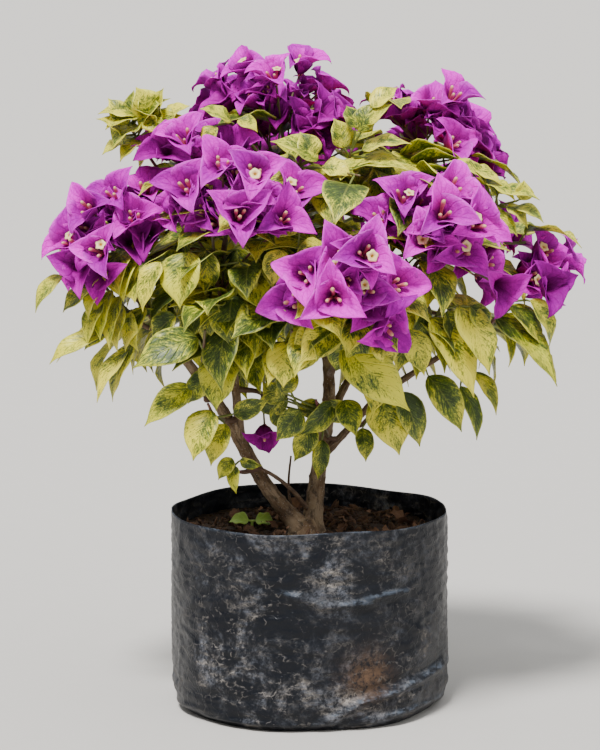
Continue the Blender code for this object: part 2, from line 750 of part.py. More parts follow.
def cylinder(name, centre, radius, height, sides, holder):
    """An upright cylinder on this centre."""
    mesh = bpy.data.meshes.new(name)
    work = bmesh.new()
    bmesh.ops.create_cone(
        work, cap_ends=True, segments=sides, radius1=radius, radius2=radius, depth=height
    )
    bmesh.ops.translate(work, verts=work.verts, vec=centre)
    work.to_mesh(mesh)
    work.free()
    return new_object(name, mesh, holder)


def turned(name, profile, holder):
    """A profile of (radius, height) turned once round the upright axis, as a mesh."""
    mesh = bpy.data.meshes.new(name)
    points = [(radius, 0, height) for radius, height in profile]
    mesh.from_pydata(points, [(i, i + 1) for i in range(len(points) - 1)], [])
    obj = new_object(name, mesh, holder)
    screw = obj.modifiers.new("turn", "SCREW")
    screw.steps = screw.render_steps = BAG_STEPS
    screw.use_merge_vertices = True
    screw.merge_threshold = 1e-5
    obj.data = evaluated_mesh(obj)
    obj.modifiers.clear()
    return obj


def fuse(target, pieces, operation="UNION"):
    """Joins the pieces to the target, or cuts them from it, and removes them."""
    if not pieces:
        return
    group = bpy.data.collections.new(target.name + "_pieces")
    bpy.context.scene.collection.children.link(group)
    for piece in pieces:
        for holder in list(piece.users_collection):
            holder.objects.unlink(piece)
        group.objects.link(piece)
    modifier = target.modifiers.new("fuse", "BOOLEAN")
    modifier.operation = operation
    modifier.operand_type = "COLLECTION"
    modifier.collection = group
    modifier.solver = "EXACT"
    target.data = evaluated_mesh(target)
    target.modifiers.clear()
    for piece in pieces:
        bpy.data.objects.remove(piece)
    bpy.data.collections.remove(group)


def tree_of(obj):
    """What other pieces are kept clear of."""
    mesh = obj.data
    points = [vertex.co.copy() for vertex in mesh.vertices]
    return BVHTree.FromPolygons(points, [tuple(face.vertices) for face in mesh.polygons])


def touches(blade, trees):
    """How many of the trees this blade crosses."""
    own = BVHTree.FromPolygons(*blade)
    return sum(1 for tree in trees if own.overlap(tree))


def finish_with(obj, finish):
    """Gives the object its material."""
    material = bpy.data.materials.get(finish)
    if material is None:
        colour, roughness = FINISHES[finish]
        material = bpy.data.materials.new(finish)
        material.use_nodes = True
        shader = material.node_tree.nodes["Principled BSDF"]
        shader.inputs["Base Color"].default_value = (*colour, 1)
        shader.inputs["Roughness"].default_value = roughness
    obj.data.materials.clear()
    obj.data.materials.append(material)


def build_bag(holder):
    """The film bag: a turned skin, crumpled, closed below and thickened inwards."""
    profile = [(BAG_RADIUS * share, height) for share, height in FILM_PROFILE]
    bag = turned("grow_bag", profile, holder)
    work = bmesh.new()
    work.from_mesh(bag.data)
    for vertex in work.verts:
        angle = math.atan2(vertex.co.y, vertex.co.x)
        out = Vector((math.cos(angle), math.sin(angle), 0))
        vertex.co += out * crumple(angle, vertex.co.z)
    base = [edge for edge in work.edges if edge.is_boundary and edge.verts[0].co.z < 1e-4]
    bmesh.ops.edgeloop_fill(work, edges=base)
    bmesh.ops.recalc_face_normals(work, faces=work.faces)
    work.to_mesh(bag.data)
    work.free()
    wall = bag.modifiers.new("wall", "SOLIDIFY")
    wall.thickness = BAG_WALL
    wall.offset = -1
    wall.use_even_offset = True
    bag.data = evaluated_mesh(bag)
    bag.modifiers.clear()
    finish_with(bag, "black_film")
    return bag


def build_soil(holder):
    """The potting mix: it follows the film, and its top is rough but level round the trunk."""
    inset = BAG_WALL + FILL_GAP
    hollow = SOIL_HEIGHT - SOIL_HOLLOW
    profile = [(0.0, hollow), (SOIL_HOLLOW_RADIUS, hollow), (SOIL_LEVEL_RADIUS, SOIL_HEIGHT)]
    for share, height in FILM_PROFILE[:-1]:
        profile.append((BAG_RADIUS * share - inset, min(height + SOIL_CORNER, SOIL_HEIGHT)))
    floor_radius = BAG_RADIUS * FILM_PROFILE[-1][0] - inset
    profile.extend([(floor_radius, SOIL_FLOOR), (0.0, SOIL_FLOOR)])
    soil = turned("potting_mix", profile, holder)
    work = bmesh.new()
    work.from_mesh(soil.data)
    for vertex in work.verts:
        x, y, z = vertex.co
        radius = math.hypot(x, y)
        if radius > floor_radius - inset:
            angle = math.atan2(y, x)
            vertex.co += Vector((math.cos(angle), math.sin(angle), 0)) * crumple(angle, z)
        elif z > SOIL_FLOOR and radius > (SOIL_HOLLOW_RADIUS + SOIL_LEVEL_RADIUS) / 2:
            across, away, slant = SOIL_WAVES
            vertex.co.z += SOIL_ROUGHNESS * math.sin(across * x + 1) * math.cos(away * y - slant * x)
    bmesh.ops.recalc_face_normals(work, faces=work.faces)
    work.to_mesh(soil.data)
    work.free()
    holes = [cylinder(
        "crown_hole", Vector((0, 0, (CROWN_FOOT - SEAT_GAP + BAG_HEIGHT) / 2)),
        CROWN_RADIUS + SEAT_GAP, BAG_HEIGHT - CROWN_FOOT + SEAT_GAP, CROWN_SIDES, holder,
    )]
    place = seen(*SEEDLING_TOP)
    foot = SOIL_HEIGHT - SEEDLING_DEPTH - SEAT_GAP
    holes.append(cylinder(
        "seedling_hole", Vector((place.x, place.y, (foot + BAG_HEIGHT) / 2)),
        SEEDLING_RADIUS + SEAT_GAP, BAG_HEIGHT - foot, SEEDLING_SIDES, holder,
    ))
    fuse(soil, holes, "DIFFERENCE")
    finish_with(soil, "potting_mix")
    return soil


def twig_line(foot, heading, others):
    """A twig from the nearest limb behind the foot, low if it can be, that clears the others."""
    on_limbs = []
    for line, _ in limb_lines().values():
        for start, stop in zip(line, line[1:]):
            on_limbs += [start.lerp(stop, step / LIMB_STEPS) for step in range(LIMB_STEPS)]
    behind = [p for p in on_limbs if (foot - p).dot(heading) > SHORTEST_TWIG]
    behind.sort(key=lambda p: (p - foot).length + TWIG_FALL_COST * max(0.0, p.z - foot.z))
    lines = []
    for start in behind[:TWIG_STARTS]:
        lines.append([start, foot - heading * TWIG_RUN_IN * (foot - start).length, foot])
        if not touches(prism(lines[-1], TWIG_BERTH * TWIG_RADIUS), others):
            return lines[-1]
    return lines[0]


def build_wood(sprays, heads, holder):
    """Root crown, limbs and twigs, grown as one piece."""
    crown = cylinder(
        "trunk_and_limbs", Vector((0, 0, (CROWN_FOOT + CROWN_TOP) / 2)), CROWN_RADIUS,
        CROWN_TOP - CROWN_FOOT, CROWN_SIDES, holder,
    )
    pieces = []
    for name, (line, radii) in limb_lines().items():
        pieces.append(tube(name, line, radii, holder, 1 if radii[0] > STOUT_LIMB else 0))
    shoots = [spray.stem for spray in sprays] + [head.rachis for head in heads]
    trees = [BVHTree.FromPolygons(*prism(shoot, TWIG_RADIUS)) for shoot in shoots]
    for i, shoot in enumerate(shoots):
        heading = (shoot[1] - shoot[0]).normalized()
        line = twig_line(shoot[0] - heading * SEAT_GAP, heading, trees[:i] + trees[i + 1:])
        radii = [TWIG_RADIUS * share for share in TWIG_TAPER]
        pieces.append(tube(f"twig_{i}", line, radii, holder))
    fuse(crown, pieces)
    finish_with(crown, "bark")
    return crown


def fitted_spreads(triplet, others, own):
    """How far each bract opens so that it clears its neighbours, or None where it can't."""
    spreads, blades = [], []
    for number in range(3):
        chosen = None
        for spread in SPREAD_TRIES:
            blade = swollen_bract(triplet, number, spread)
            if not touches(blade, others) and not touches(blade, own):
                chosen = spread
                blades.append(blade)
                break
        spreads.append(chosen)
    return spreads, blades


def build_head(head, others, holder):
    """A head of bracts on its rachis."""
    rachis = tube("bracts_" + head.name, head.rachis, RACHIS_RADII, holder)
    pieces, own = [], []
    for i, places in enumerate(head.triplets):
        best, best_score = None, 0
        for triplet in places:
            stalk = triplet_solid(triplet, [None] * 3, i % FLOWER_EVERY == 0)
            if touches(stalk, others):
                continue
            spreads, blades = fitted_spreads(triplet, others, own)
            score = len(blades) - STALK_CROSSING_COST * touches(stalk, own)
            if best is None or score > best_score:
                best, best_score = (triplet, spreads, [*blades, stalk]), score
            if best_score == 3:
                break
        if best is None or len(best[2]) == 1:
            continue
        triplet, spreads, blades = best
        own.extend(BVHTree.FromPolygons(*blade) for blade in blades)
        solid = triplet_solid(triplet, spreads, i % FLOWER_EVERY == 0)
        pieces.append(solid_object(f"triplet_{i}", *solid, holder))
    fuse(rachis, pieces)
    finish_with(rachis, "magenta_bract")
    return rachis


def build_stem(spray, holder):
    """A spray's leafy stem."""
    last = len(spray.stem) - 1
    radii = [TWIG_RADIUS - STEM_TAPER * i / last for i in range(last + 1)]
    return tube("leaves_" + spray.name, spray.stem, radii, holder)


def add_leaves(stem, spray, others, holder):
    """Joins to the stem those of the spray's leaves that clear everything else."""
    pieces = []
    for i, places in enumerate(spray.leaves):
        for leaf in places:
            if touches(leaf_solid(leaf, BLADE_CLEARANCE), others):
                continue
            pieces.append(solid_object(f"leaf_{i}", *leaf_solid(leaf), holder))
            break
    fuse(stem, pieces)
    finish_with(stem, "variegated_leaf")


def build_seedling(holder):
    """The weed seedling: an upright stem with two round leaves."""
    top = seen(*SEEDLING_TOP)
    foot = Vector((top.x, top.y, SOIL_HEIGHT - SEEDLING_DEPTH))
    seedling = tube("weed_seedling", [foot, top], [SEEDLING_RADIUS, SEEDLING_RADIUS], holder)
    leaves = []
    for i, (column, row) in enumerate(SEEDLING_TIPS):
        tip = seen(column, row, SEEDLING_TOP[2])
        root = top - UP * SEEDLING_FORK
        leaf = Leaf(root, top.lerp(tip, SEEDLING_PETIOLE), tip, SEEDLING_WIDTH, UP)
        leaves.append(solid_object(f"seed_leaf_{i}", *leaf_solid(leaf), holder))
    fuse(seedling, leaves)
    finish_with(seedling, "seedling_leaf")
    return seedling


def main():
    for obj in list(bpy.data.objects):
        bpy.data.objects.remove(obj)
    plant = bpy.data.collections.new("bougainvillea_bonsai")
    bpy.context.scene.collection.children.link(plant)
    sprays, heads = spray_plan(), head_plan()
    base = [build_bag(plant), build_soil(plant), build_seedling(plant), build_wood(sprays, heads, plant)]
    placed = [tree_of(obj) for obj in base]
    stems = {spray.name: build_stem(spray, plant) for spray in sprays}
    stem_trees = {name: tree_of(stem) for name, stem in stems.items()}
    for head in heads:
        placed.append(tree_of(build_head(head, [*placed, *stem_trees.values()], plant)))
    for spray in sprays:
        del stem_trees[spray.name]
        add_leaves(stems[spray.name], spray, [*placed, *stem_trees.values()], plant)
        placed.append(tree_of(stems[spray.name]))


main()
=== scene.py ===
"""Bougainvillea bonsai in its black film grow bag, dressed over the fixed model.

Metres, +Z up, seen from -Y. Every piece keeps the form and place of the solid that it stands for:
the plant's layout is worked out again from the same places, and the model's own corners say which
leaves and bracts it holds. A place that the photograph shows is named by its column and row there.
"""

import math
import random
from collections import namedtuple

import bpy
import numpy as np
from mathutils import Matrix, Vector, noise
from mathutils.kdtree import KDTree


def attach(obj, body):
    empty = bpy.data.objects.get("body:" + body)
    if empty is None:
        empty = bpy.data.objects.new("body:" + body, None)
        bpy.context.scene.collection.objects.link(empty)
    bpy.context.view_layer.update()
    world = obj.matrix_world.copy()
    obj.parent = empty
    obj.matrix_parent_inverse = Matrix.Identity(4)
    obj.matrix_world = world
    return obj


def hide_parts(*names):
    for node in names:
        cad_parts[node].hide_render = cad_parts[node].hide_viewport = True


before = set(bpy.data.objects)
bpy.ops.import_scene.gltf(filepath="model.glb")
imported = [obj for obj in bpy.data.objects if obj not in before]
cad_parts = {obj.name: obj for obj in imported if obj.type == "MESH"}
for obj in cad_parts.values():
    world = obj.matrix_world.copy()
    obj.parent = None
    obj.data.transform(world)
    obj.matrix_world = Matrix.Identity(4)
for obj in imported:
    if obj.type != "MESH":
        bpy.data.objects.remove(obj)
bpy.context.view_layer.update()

bl_info = {
    "name": "Bougainvillea Bonsai",
    "version": (1, 0, 0),
    "blender": (4, 5, 0),
    "location": "View3D > Sidebar > Bonsai",
    "description": "Dresses a bougainvillea bonsai in a film grow bag",
    "category": "Object",
}

# Grow bag
BAG_RADIUS = 0.113
BAG_HEIGHT = 0.160
FILM_PROFILE = [(0.992, 0.160), (0.997, 0.112), (1.0, 0.062), (1.0, 0.022), (0.975, 0.006), (0.920, 0.0)]
FILM_WAVES = [(0.0010, 3, 0, 1.2), (0.0012, 5, 18, 0.0)]
LOW_FILM_WAVE = (0.0014, 7, -40, 2.0)
FILM_INSET = 0.0020
FILM_STEPS = 288
FILM_ROWS = 128
RIM_WAVE = 0.0012
RIM_LIMIT = 0.002
# Creases go no deeper than this, so that the potting mix stays inside
DEEPEST_CREASE = 0.0010
# Folds in the film: two (column, row) ends, how far it stands out or in, and half its width
FILM_FOLDS = [
    ((282, 594), (330, 607), 0.0026, 0.0034), ((322, 607), (370, 604), 0.0024, 0.0032),
    ((364, 600), (410, 592), 0.0022, 0.0028), ((300, 588), (392, 583), -0.0016, 0.0036),
    ((318, 727), (362, 706), 0.0032, 0.0036), ((350, 708), (404, 690), 0.0036, 0.0040),
    ((392, 692), (446, 660), 0.0036, 0.0040), ((340, 700), (444, 650), -0.0024, 0.0036),
    ((352, 724), (444, 694), 0.0026, 0.0030), ((334, 716), (430, 680), -0.0024, 0.0030),
    ((172, 700), (230, 716), 0.0021, 0.0026), ((196, 716), (300, 728), 0.0021, 0.0024),
    ((174, 688), (262, 706), -0.0018, 0.0034), ((190, 694), (250, 706), 0.0018, 0.0022),
    ((181, 520), (178, 690), 0.0014, 0.0022), ((436, 522), (440, 700), 0.0014, 0.0022),
    ((420, 535), (428, 640), -0.0010, 0.0030), ((214, 560), (262, 600), 0.0010, 0.0036),
    ((240, 578), (320, 588), 0.0010, 0.0028), ((250, 640), (330, 656), 0.0012, 0.0034),
    ((390, 620), (438, 640), 0.0014, 0.0028), ((186, 606), (240, 598), 0.0012, 0.0030),
    ((300, 640), (372, 632), -0.0012, 0.0034), ((196, 640), (262, 650), -0.0010, 0.0030),
    ((330, 548), (400, 540), 0.0008, 0.0026), ((280, 548), (330, 554), -0.0008, 0.0028),
]
# Only folds that stand out by more than this get a painted sheen
SHINY_FOLD = 0.0021
FOLD_BOW = 0.10
# The hem above the base: its ridge and the groove above that, each with its height and half width
HEM_DEPTH = 0.0014
HEM_RIDGE, HEM_GROOVE = (0.017, 0.0045), (0.026, 0.004)
# The base: rings of points and the depth of the pleats that gather it
BASE_RINGS = 14
PLEAT_DEPTH = 0.0006
# Where dust has settled on the film: (column, row), reach in pixels and how much
DUST_PLACES = [
    ((222, 655), 46, 0.85), ((270, 690), 44, 0.75), ((200, 600), 40, 0.40), ((262, 600), 46, 0.45),
    ((330, 570), 40, 0.50), ((400, 560), 42, 0.35), ((420, 640), 40, 0.50), ((360, 706), 50, 0.60),
    ((400, 700), 40, 0.55), ((180, 680), 34, 0.60), ((240, 545), 50, 0.25),
]
EARTH_STAIN = ((368, 678), 22)

# Potting mix
SOIL_HEIGHT = 0.141
SOIL_FLOOR = 0.0022
SOIL_HOLLOW = 0.0025
SOIL_HOLLOW_RADIUS = 0.024
SOIL_LEVEL_RADIUS = 0.060
SOIL_STEPS = 168
SOIL_RINGS = 46
SOIL_WALL_RINGS = 14
SOIL_ROUGHNESS, SOIL_LUMPS = 0.0018, 0.0024
TRUNK_CLEARANCE = 0.018
CRUMBS, CRUMB_SIZES = 1150, (0.0007, 0.0024)
LUMP_RINGS, LUMP_SIDES, LUMP_END, LUMP_JAGS = 4, 6, 0.12, (0.75, 1.2)
BARK_CHIPS, CHIP_SIZES = 190, (0.0030, 0.0075)
ROOT_BITS, ROOT_LENGTHS, ROOT_RADII = 60, (0.008, 0.022), (0.0003, 0.0009)
DRY_LEAVES, DRY_LEAF_LENGTHS, DRY_LEAF_RIPPLE = 46, (0.008, 0.019), (0.25, 0.45)

# Root crown, limbs and twigs
CROWN_PROFILE = [(0.118, 0.0165), (0.132, 0.0160), (0.140, 0.0150), (0.146, 0.0128), (0.152, 0.0085)]
LIMB_STEPS = 6
TWIG_RADIUS = 0.0015
TWIG_TAPER = (1.4, 1.2, 1.0)
TWIG_STARTS = 30
SHORTEST_TWIG = 0.010
TWIG_FALL_COST = 2
TWIG_RUN_IN = 0.35
SEAT_GAP = 0.0004
SCAR_SPACING, SCAR_HEIGHT, SCAR_WIDTH = 0.013, 0.13, 0.0016
BARK_STEP = 0.0018
STOUT_LIMB = 0.004
CROWN_SIDES, STOUT_SIDES, THIN_SIDES, TWIG_SIDES = 28, 20, 12, 9
# How much a foot flares, as a share of its radius, and how far up it
MAIN_FLARE, LIMB_FLARE, TWIG_FLARE, FLARE_REACH = 0.35, 0.15, 0.2, 0.016
THIN_YOUTH, TWIG_YOUTH = 0.35, 0.7

# Leafy stems and leaves
STEM_TAPER = 0.0004
STEM_BOW = 0.004
STEM_STEPS = 60
STEM_END = 0.98
LEAF_ARCH = 0.10
LEAF_FACING = (0, -0.5, 0.7)
PETIOLE_RADIUS = 0.0008
PETIOLE_SPACING = 0.0026
PETIOLE_DEPTH = 0.007
# A leaf's outline: share of its length, then share of its width
LEAF_OUTLINE = [
    (0.0, 0.06), (0.035, 0.38), (0.09, 0.66), (0.17, 0.86), (0.27, 0.98), (0.38, 1.0), (0.50, 0.96),
    (0.62, 0.84), (0.72, 0.64), (0.81, 0.40), (0.88, 0.20), (0.94, 0.085), (1.0, 0.012),
]
LEAF_COLUMNS = 7
# How far a leaf folds along its midrib, ripples, twists, bends sideways and turns its tip down, all
# drawn anew for each leaf and given as shares of its width or length
LEAF_FOLD, LEAF_RIPPLE, LEAF_RIPPLES = (0.16, 0.30), (0.05, 0.14), 1.9
LEAF_TWIST, LEAF_BEND = 0.30, 0.05
LEAF_TURN_FROM, LEAF_TURN = 0.62, (-0.02, 0.07)
# Where its twist starts, how far one margin's ripples lag, and how they grow outwards
LEAF_TWIST_FROM, LEAF_LAG, LEAF_RIPPLE_POWER = 0.3, (0.3, 2.0), 1.6
# How rounded the fold is along the midrib of leaves and bracts
FOLD_ROUNDING = 0.02
# A petiole's rise, its run under the blade, its taper, sides and step
PETIOLE_RISE, PETIOLE_UNDER, PETIOLE_TAPER = 0.0006, 0.03, (1, 0.9, 0.8, 0.5)
PETIOLE_SIDES, PETIOLE_STEP = 6, 0.0035
# How green a leaf is: planned dark ones, other planned ones, and the further ones behind and in front
DARK_LEAF, LIGHT_LEAF = (0.45, 0.70), (0.0, 0.28)
LEAF_BEHIND, LEAF_IN_FRONT, LEANS_BACK = (0.35, 0.6), (0.0, 0.2), -0.003
# Leaves of a spray that are mostly dark green, by their number in it
DARK_LEAVES = {
    "left_middle": (0,), "left_low": (0, 2), "right_middle": (2,), "inner_low": (0, 1, 2, 3),
    "right_low": (1, 2), "left_under": (2,), "middle_left": (1,), "front_middle": (3,),
    "right_outer": (2,), "low_twig": (2,),
}

# Leaves of the far side and inside the crown
GROWN_WANDER = 0.4
GROWN_PETIOLE = (0.009, 0.013)
GROWN_DROOP = (0.5, 1.1)
GROWN_LEVEL = 0.0
GROWN_LENGTH = (0.044, 0.060)
GROWN_SHAPE = (0.56, 0.68)
GROWN_START = 0.7
GROWN_OUT = 0.75
GROWN_FORWARD = 0.2
PETIOLE_FORWARD = 0.5

# Bracts in threes round a flower
BRACT_LENGTH = 0.038
BRACT_WIDTH = 0.031
BRACT_START = math.radians(30)
BRACT_END = math.radians(84)
BRACT_OUTLINE = [
    (0.0, 0.16), (0.05, 0.42), (0.11, 0.64), (0.19, 0.82), (0.28, 0.95), (0.37, 1.0), (0.46, 0.98),
    (0.56, 0.88), (0.66, 0.70), (0.76, 0.47), (0.86, 0.24), (0.94, 0.09), (1.0, 0.012),
]
BRACT_COLUMNS = 7
# A bract stays steep up to here, by this share of its bend, and then flares
BRACT_CUP_END = 0.24
BRACT_CUP_SHARE = 0.30
# Drawn anew for each bract: its own length and width, how far its tip curls back, how it cups and
# folds, how many ripples it has and how deep, and how it twists and bends sideways
BRACT_LENGTHS, BRACT_WIDTHS = (0.98, 1.08), (0.88, 1.04)
BRACT_CURL_FROM, BRACT_CURL = 0.60, (0.2, 1.5)
BRACT_CUP, BRACT_FOLD = (0.55, 0.95), (0.04, 0.12)
BRACT_RIPPLES, BRACT_RIPPLE = (1.2, 2.2), (0.16, 0.36)
BRACT_TWIST, BRACT_BEND = 0.45, 0.07
# Where its twist starts, how far one margin's ripples lag, how far its margins draw in, how its cup
# grows outwards, and where, over what share and how much it flattens
BRACT_TWIST_FROM, BRACT_LAG, BRACT_DRAWN_IN = 0.2, (0.5, 2.5), 0.10
BRACT_CUP_POWER, BRACT_FLAT_FROM, BRACT_FLAT_OVER, BRACT_FLATTER = 1.5, 0.55, 0.45, 0.9
BEND_STEPS = 80
RACHIS_SHARES = (0.0, 0.25, 0.5)
RACHIS_RADII = (0.0015, 0.0014, 0.0012)
FORKS_FROM, FORKS_OVER = 0.25, 0.7
STALK_RADIUS = 0.0011
SHORTEST_STALK = 0.008
STALK_TURN = 0.4
TRIPLET_WANDER = 0.12
TRIPLET_SIZES = (0.94, 1.06)
FACING_OUT, FACING_UP, FACING_EYE = 0.5, 0.1, 0.5
FLOWER_LENGTH = 0.019
FLOWER_FOOT = 0.0012
FLOWER_LEANS = (0.10, 0.32)
FLOWER_SIZES = (0.82, 1.0)
# Share of the threes with an open flower
OPEN_FLOWERS = 0.50
# Smaller threes that fill a head between the others: sizes, how far they wander, where they stand
FILL_SIZES = (0.58, 0.86)
FILL_WANDER = 0.70
FILL_BETWEEN, FILL_DEPTH, FILL_FORK = (0.42, 0.62), (0.002, 0.014), (0.35, 0.7)
# The deepest painted shade of these, the share that has flowers, and the painted shade of the low bloom
FILL_SHADE, FILL_FLOWERS, LOW_BLOOM_SHADE = 0.3, 0.4, 0.6
# A flower's lobes, how far they and its ruffles stand out, and the sides of its rings
LOBES, LOBE_DEPTH, RUFFLE_DEPTH = 5, 0.10, 0.06
OPEN_SIDES, BUD_SIDES = 20, 10
# Its rings: share of its length, radius, how far it draws out to five points, whether its edge is
# ruffled, and how pale and golden it is
FLOWER_TUBE = [
    (0.0, 0.0008, 0, 0, 0, 0), (0.12, 0.0017, 0, 0, 0, 0), (0.30, 0.0018, 0, 0, 0, 0),
    (0.50, 0.0013, 0, 0, 0, 0), (0.75, 0.0015, 0, 0, 0, 0), (0.94, 0.0019, 0, 0, 0, 0),
]
OPEN_STAR = [
    (0.985, 0.0024, 0.0004, 0, 0.60, 0.1), (1.02, 0.0046, 0.0014, 1, 1.0, 0.0),
    (1.05, 0.0036, 0.0008, 1, 1.0, 0.0), (1.01, 0.0017, 0, 0, 0.9, 0.5),
    (0.96, 0.0010, 0, 0, 0.6, 1.0), (0.88, 0.0002, 0, 0, 0.5, 1.0),
]
CLOSED_BUD = [
    (1.0, 0.0017, 0, 0, 0.10, 0.0), (1.06, 0.0016, 0, 0, 0.35, 0.2), (1.12, 0.0010, 0, 0, 0.55, 0.3),
    (1.14, 0.0002, 0, 0, 0.55, 0.3),
]

# Where the eye stood for the photograph, which is 600 columns by 750 rows
EYE = Vector((-0.0062, -2.415, 0.6225))
EYE_PITCH = math.radians(8.3)
EYE_FOCAL = 3000.0
EYE_LENS = 144.0
MIDDLE_COLUMN, MIDDLE_ROW = 300.0, 375.0
PIXEL = 0.00082

# Floor, sky and suns: the place each sun shines from, and its width in degrees
FLOOR_REACH = 90.0
FLOOR_GRAIN = 0.97
LOW_SKY = 0.22
SKY_FADE = (0.10, 0.70)
KEY_PLACE, KEY_WIDTH = (-0.32, -0.72, 1.35), 14
FILL_PLACE, FILL_WIDTH = (1.0, -0.9, 0.5), 50

# The crown's middle, which leaves and bracts face away from, and how far the crown reaches
CROWN = Vector((0.004, 0.0, 0.350))
REACH = Vector((0.200, 0.185, 0.165))
GOLDEN_TURN = math.radians(137.5)
UP = Vector((0, 0, 1))

# The places that a blade may have taken in the model, and how near one of its corners has to be
DEPTH_TRIES = (0.0, -0.006, 0.006, -0.012, 0.012, -0.018, 0.018, -0.026, 0.026)
TURN_TRIES = (0.0, 0.6, -0.6, 1.2, -1.2)
SPREAD_TRIES = (1.0, 0.90, 1.14)
CORNER_REACH = 0.0003

# Leafy shoots inside the crown, behind the outer ones
INNER_SHOOTS = 74
INNER_SHARES = (0.34, 0.74)
INNER_LIMIT = 0.88
INNER_RADIUS = 0.0010
# Rows of the photograph: no leaf hangs below one drawn between these, and no shoot ends below the last
LOWEST_INNER_ROWS = (300, 405)
LOWEST_SHOOT_ROW = 360
INNER_LIFT = 0.12
INNER_DARKNESS, INNER_DARKER = (0.05, 0.25, 0.50), 0.2

Leaf = namedtuple("Leaf", "root base tip width face")
Spray = namedtuple("Spray", "name stem leaves")
Triplet = namedtuple("Triplet", "fork throat axis spin size")
Head = namedtuple("Head", "name rachis triplets")

# Limbs: the (column, row, depth) points of each, then its radius at the start and at the end
LIMBS = {
    "left_stem": ([
        (305, 533, 0.0), (288, 514, -0.003), (262, 481, -0.010), (240, 440, -0.018),
        (218, 402, -0.024), (188, 363, -0.030), (150, 312, -0.038), (116, 272, -0.044),
    ], 0.0075, 0.0024),
    "left_inner": ([
        (240, 440, -0.018), (237, 398, -0.030), (230, 345, -0.045), (222, 292, -0.058),
    ], 0.0042, 0.0022),
    "right_stem": ([
        (311, 533, 0.002), (315, 497, 0.003), (320, 458, 0.005), (328, 420, 0.004),
        (330, 375, 0.0), (320, 300, -0.002), (303, 215, 0.0), (285, 150, 0.004),
    ], 0.0078, 0.0024),
    "right_fork": ([
        (320, 458, 0.005), (342, 436, 0.0), (378, 396, -0.012), (408, 352, -0.028),
        (424, 310, -0.045),
    ], 0.0034, 0.0022),
    "right_outer": ([
        (378, 396, -0.012), (424, 366, -0.008), (474, 336, -0.006), (512, 306, -0.008),
    ], 0.0028, 0.0020),
    "upper_right": ([
        (320, 300, -0.002), (352, 250, 0.012), (390, 200, 0.022), (418, 165, 0.028),
    ], 0.0030, 0.0020),
    "front_middle": ([
        (330, 375, 0.0), (334, 366, -0.035), (338, 352, -0.075),
    ], 0.0030, 0.0022),
    "back_left": ([
        (218, 402, -0.024), (210, 368, 0.020), (200, 320, 0.060), (190, 270, 0.088),
    ], 0.0036, 0.0020),
    "back_right": ([
        (328, 420, 0.004), (348, 380, 0.040), (376, 330, 0.078), (392, 270, 0.100),
    ], 0.0036, 0.0020),
    "back_middle": ([
        (330, 375, 0.0), (318, 330, 0.050), (304, 270, 0.090), (292, 205, 0.108),
    ], 0.0032, 0.0020),
    "low_twig": ([
        (307, 508, -0.002), (290, 487, -0.016), (266, 470, -0.026), (250, 467, -0.031),
    ], 0.0018, 0.0014),
    "sprout": ([
        (304, 528, 0.006), (290, 505, 0.013), (288, 482, 0.013), (291, 456, 0.011),
    ], 0.0014, 0.0008),
}

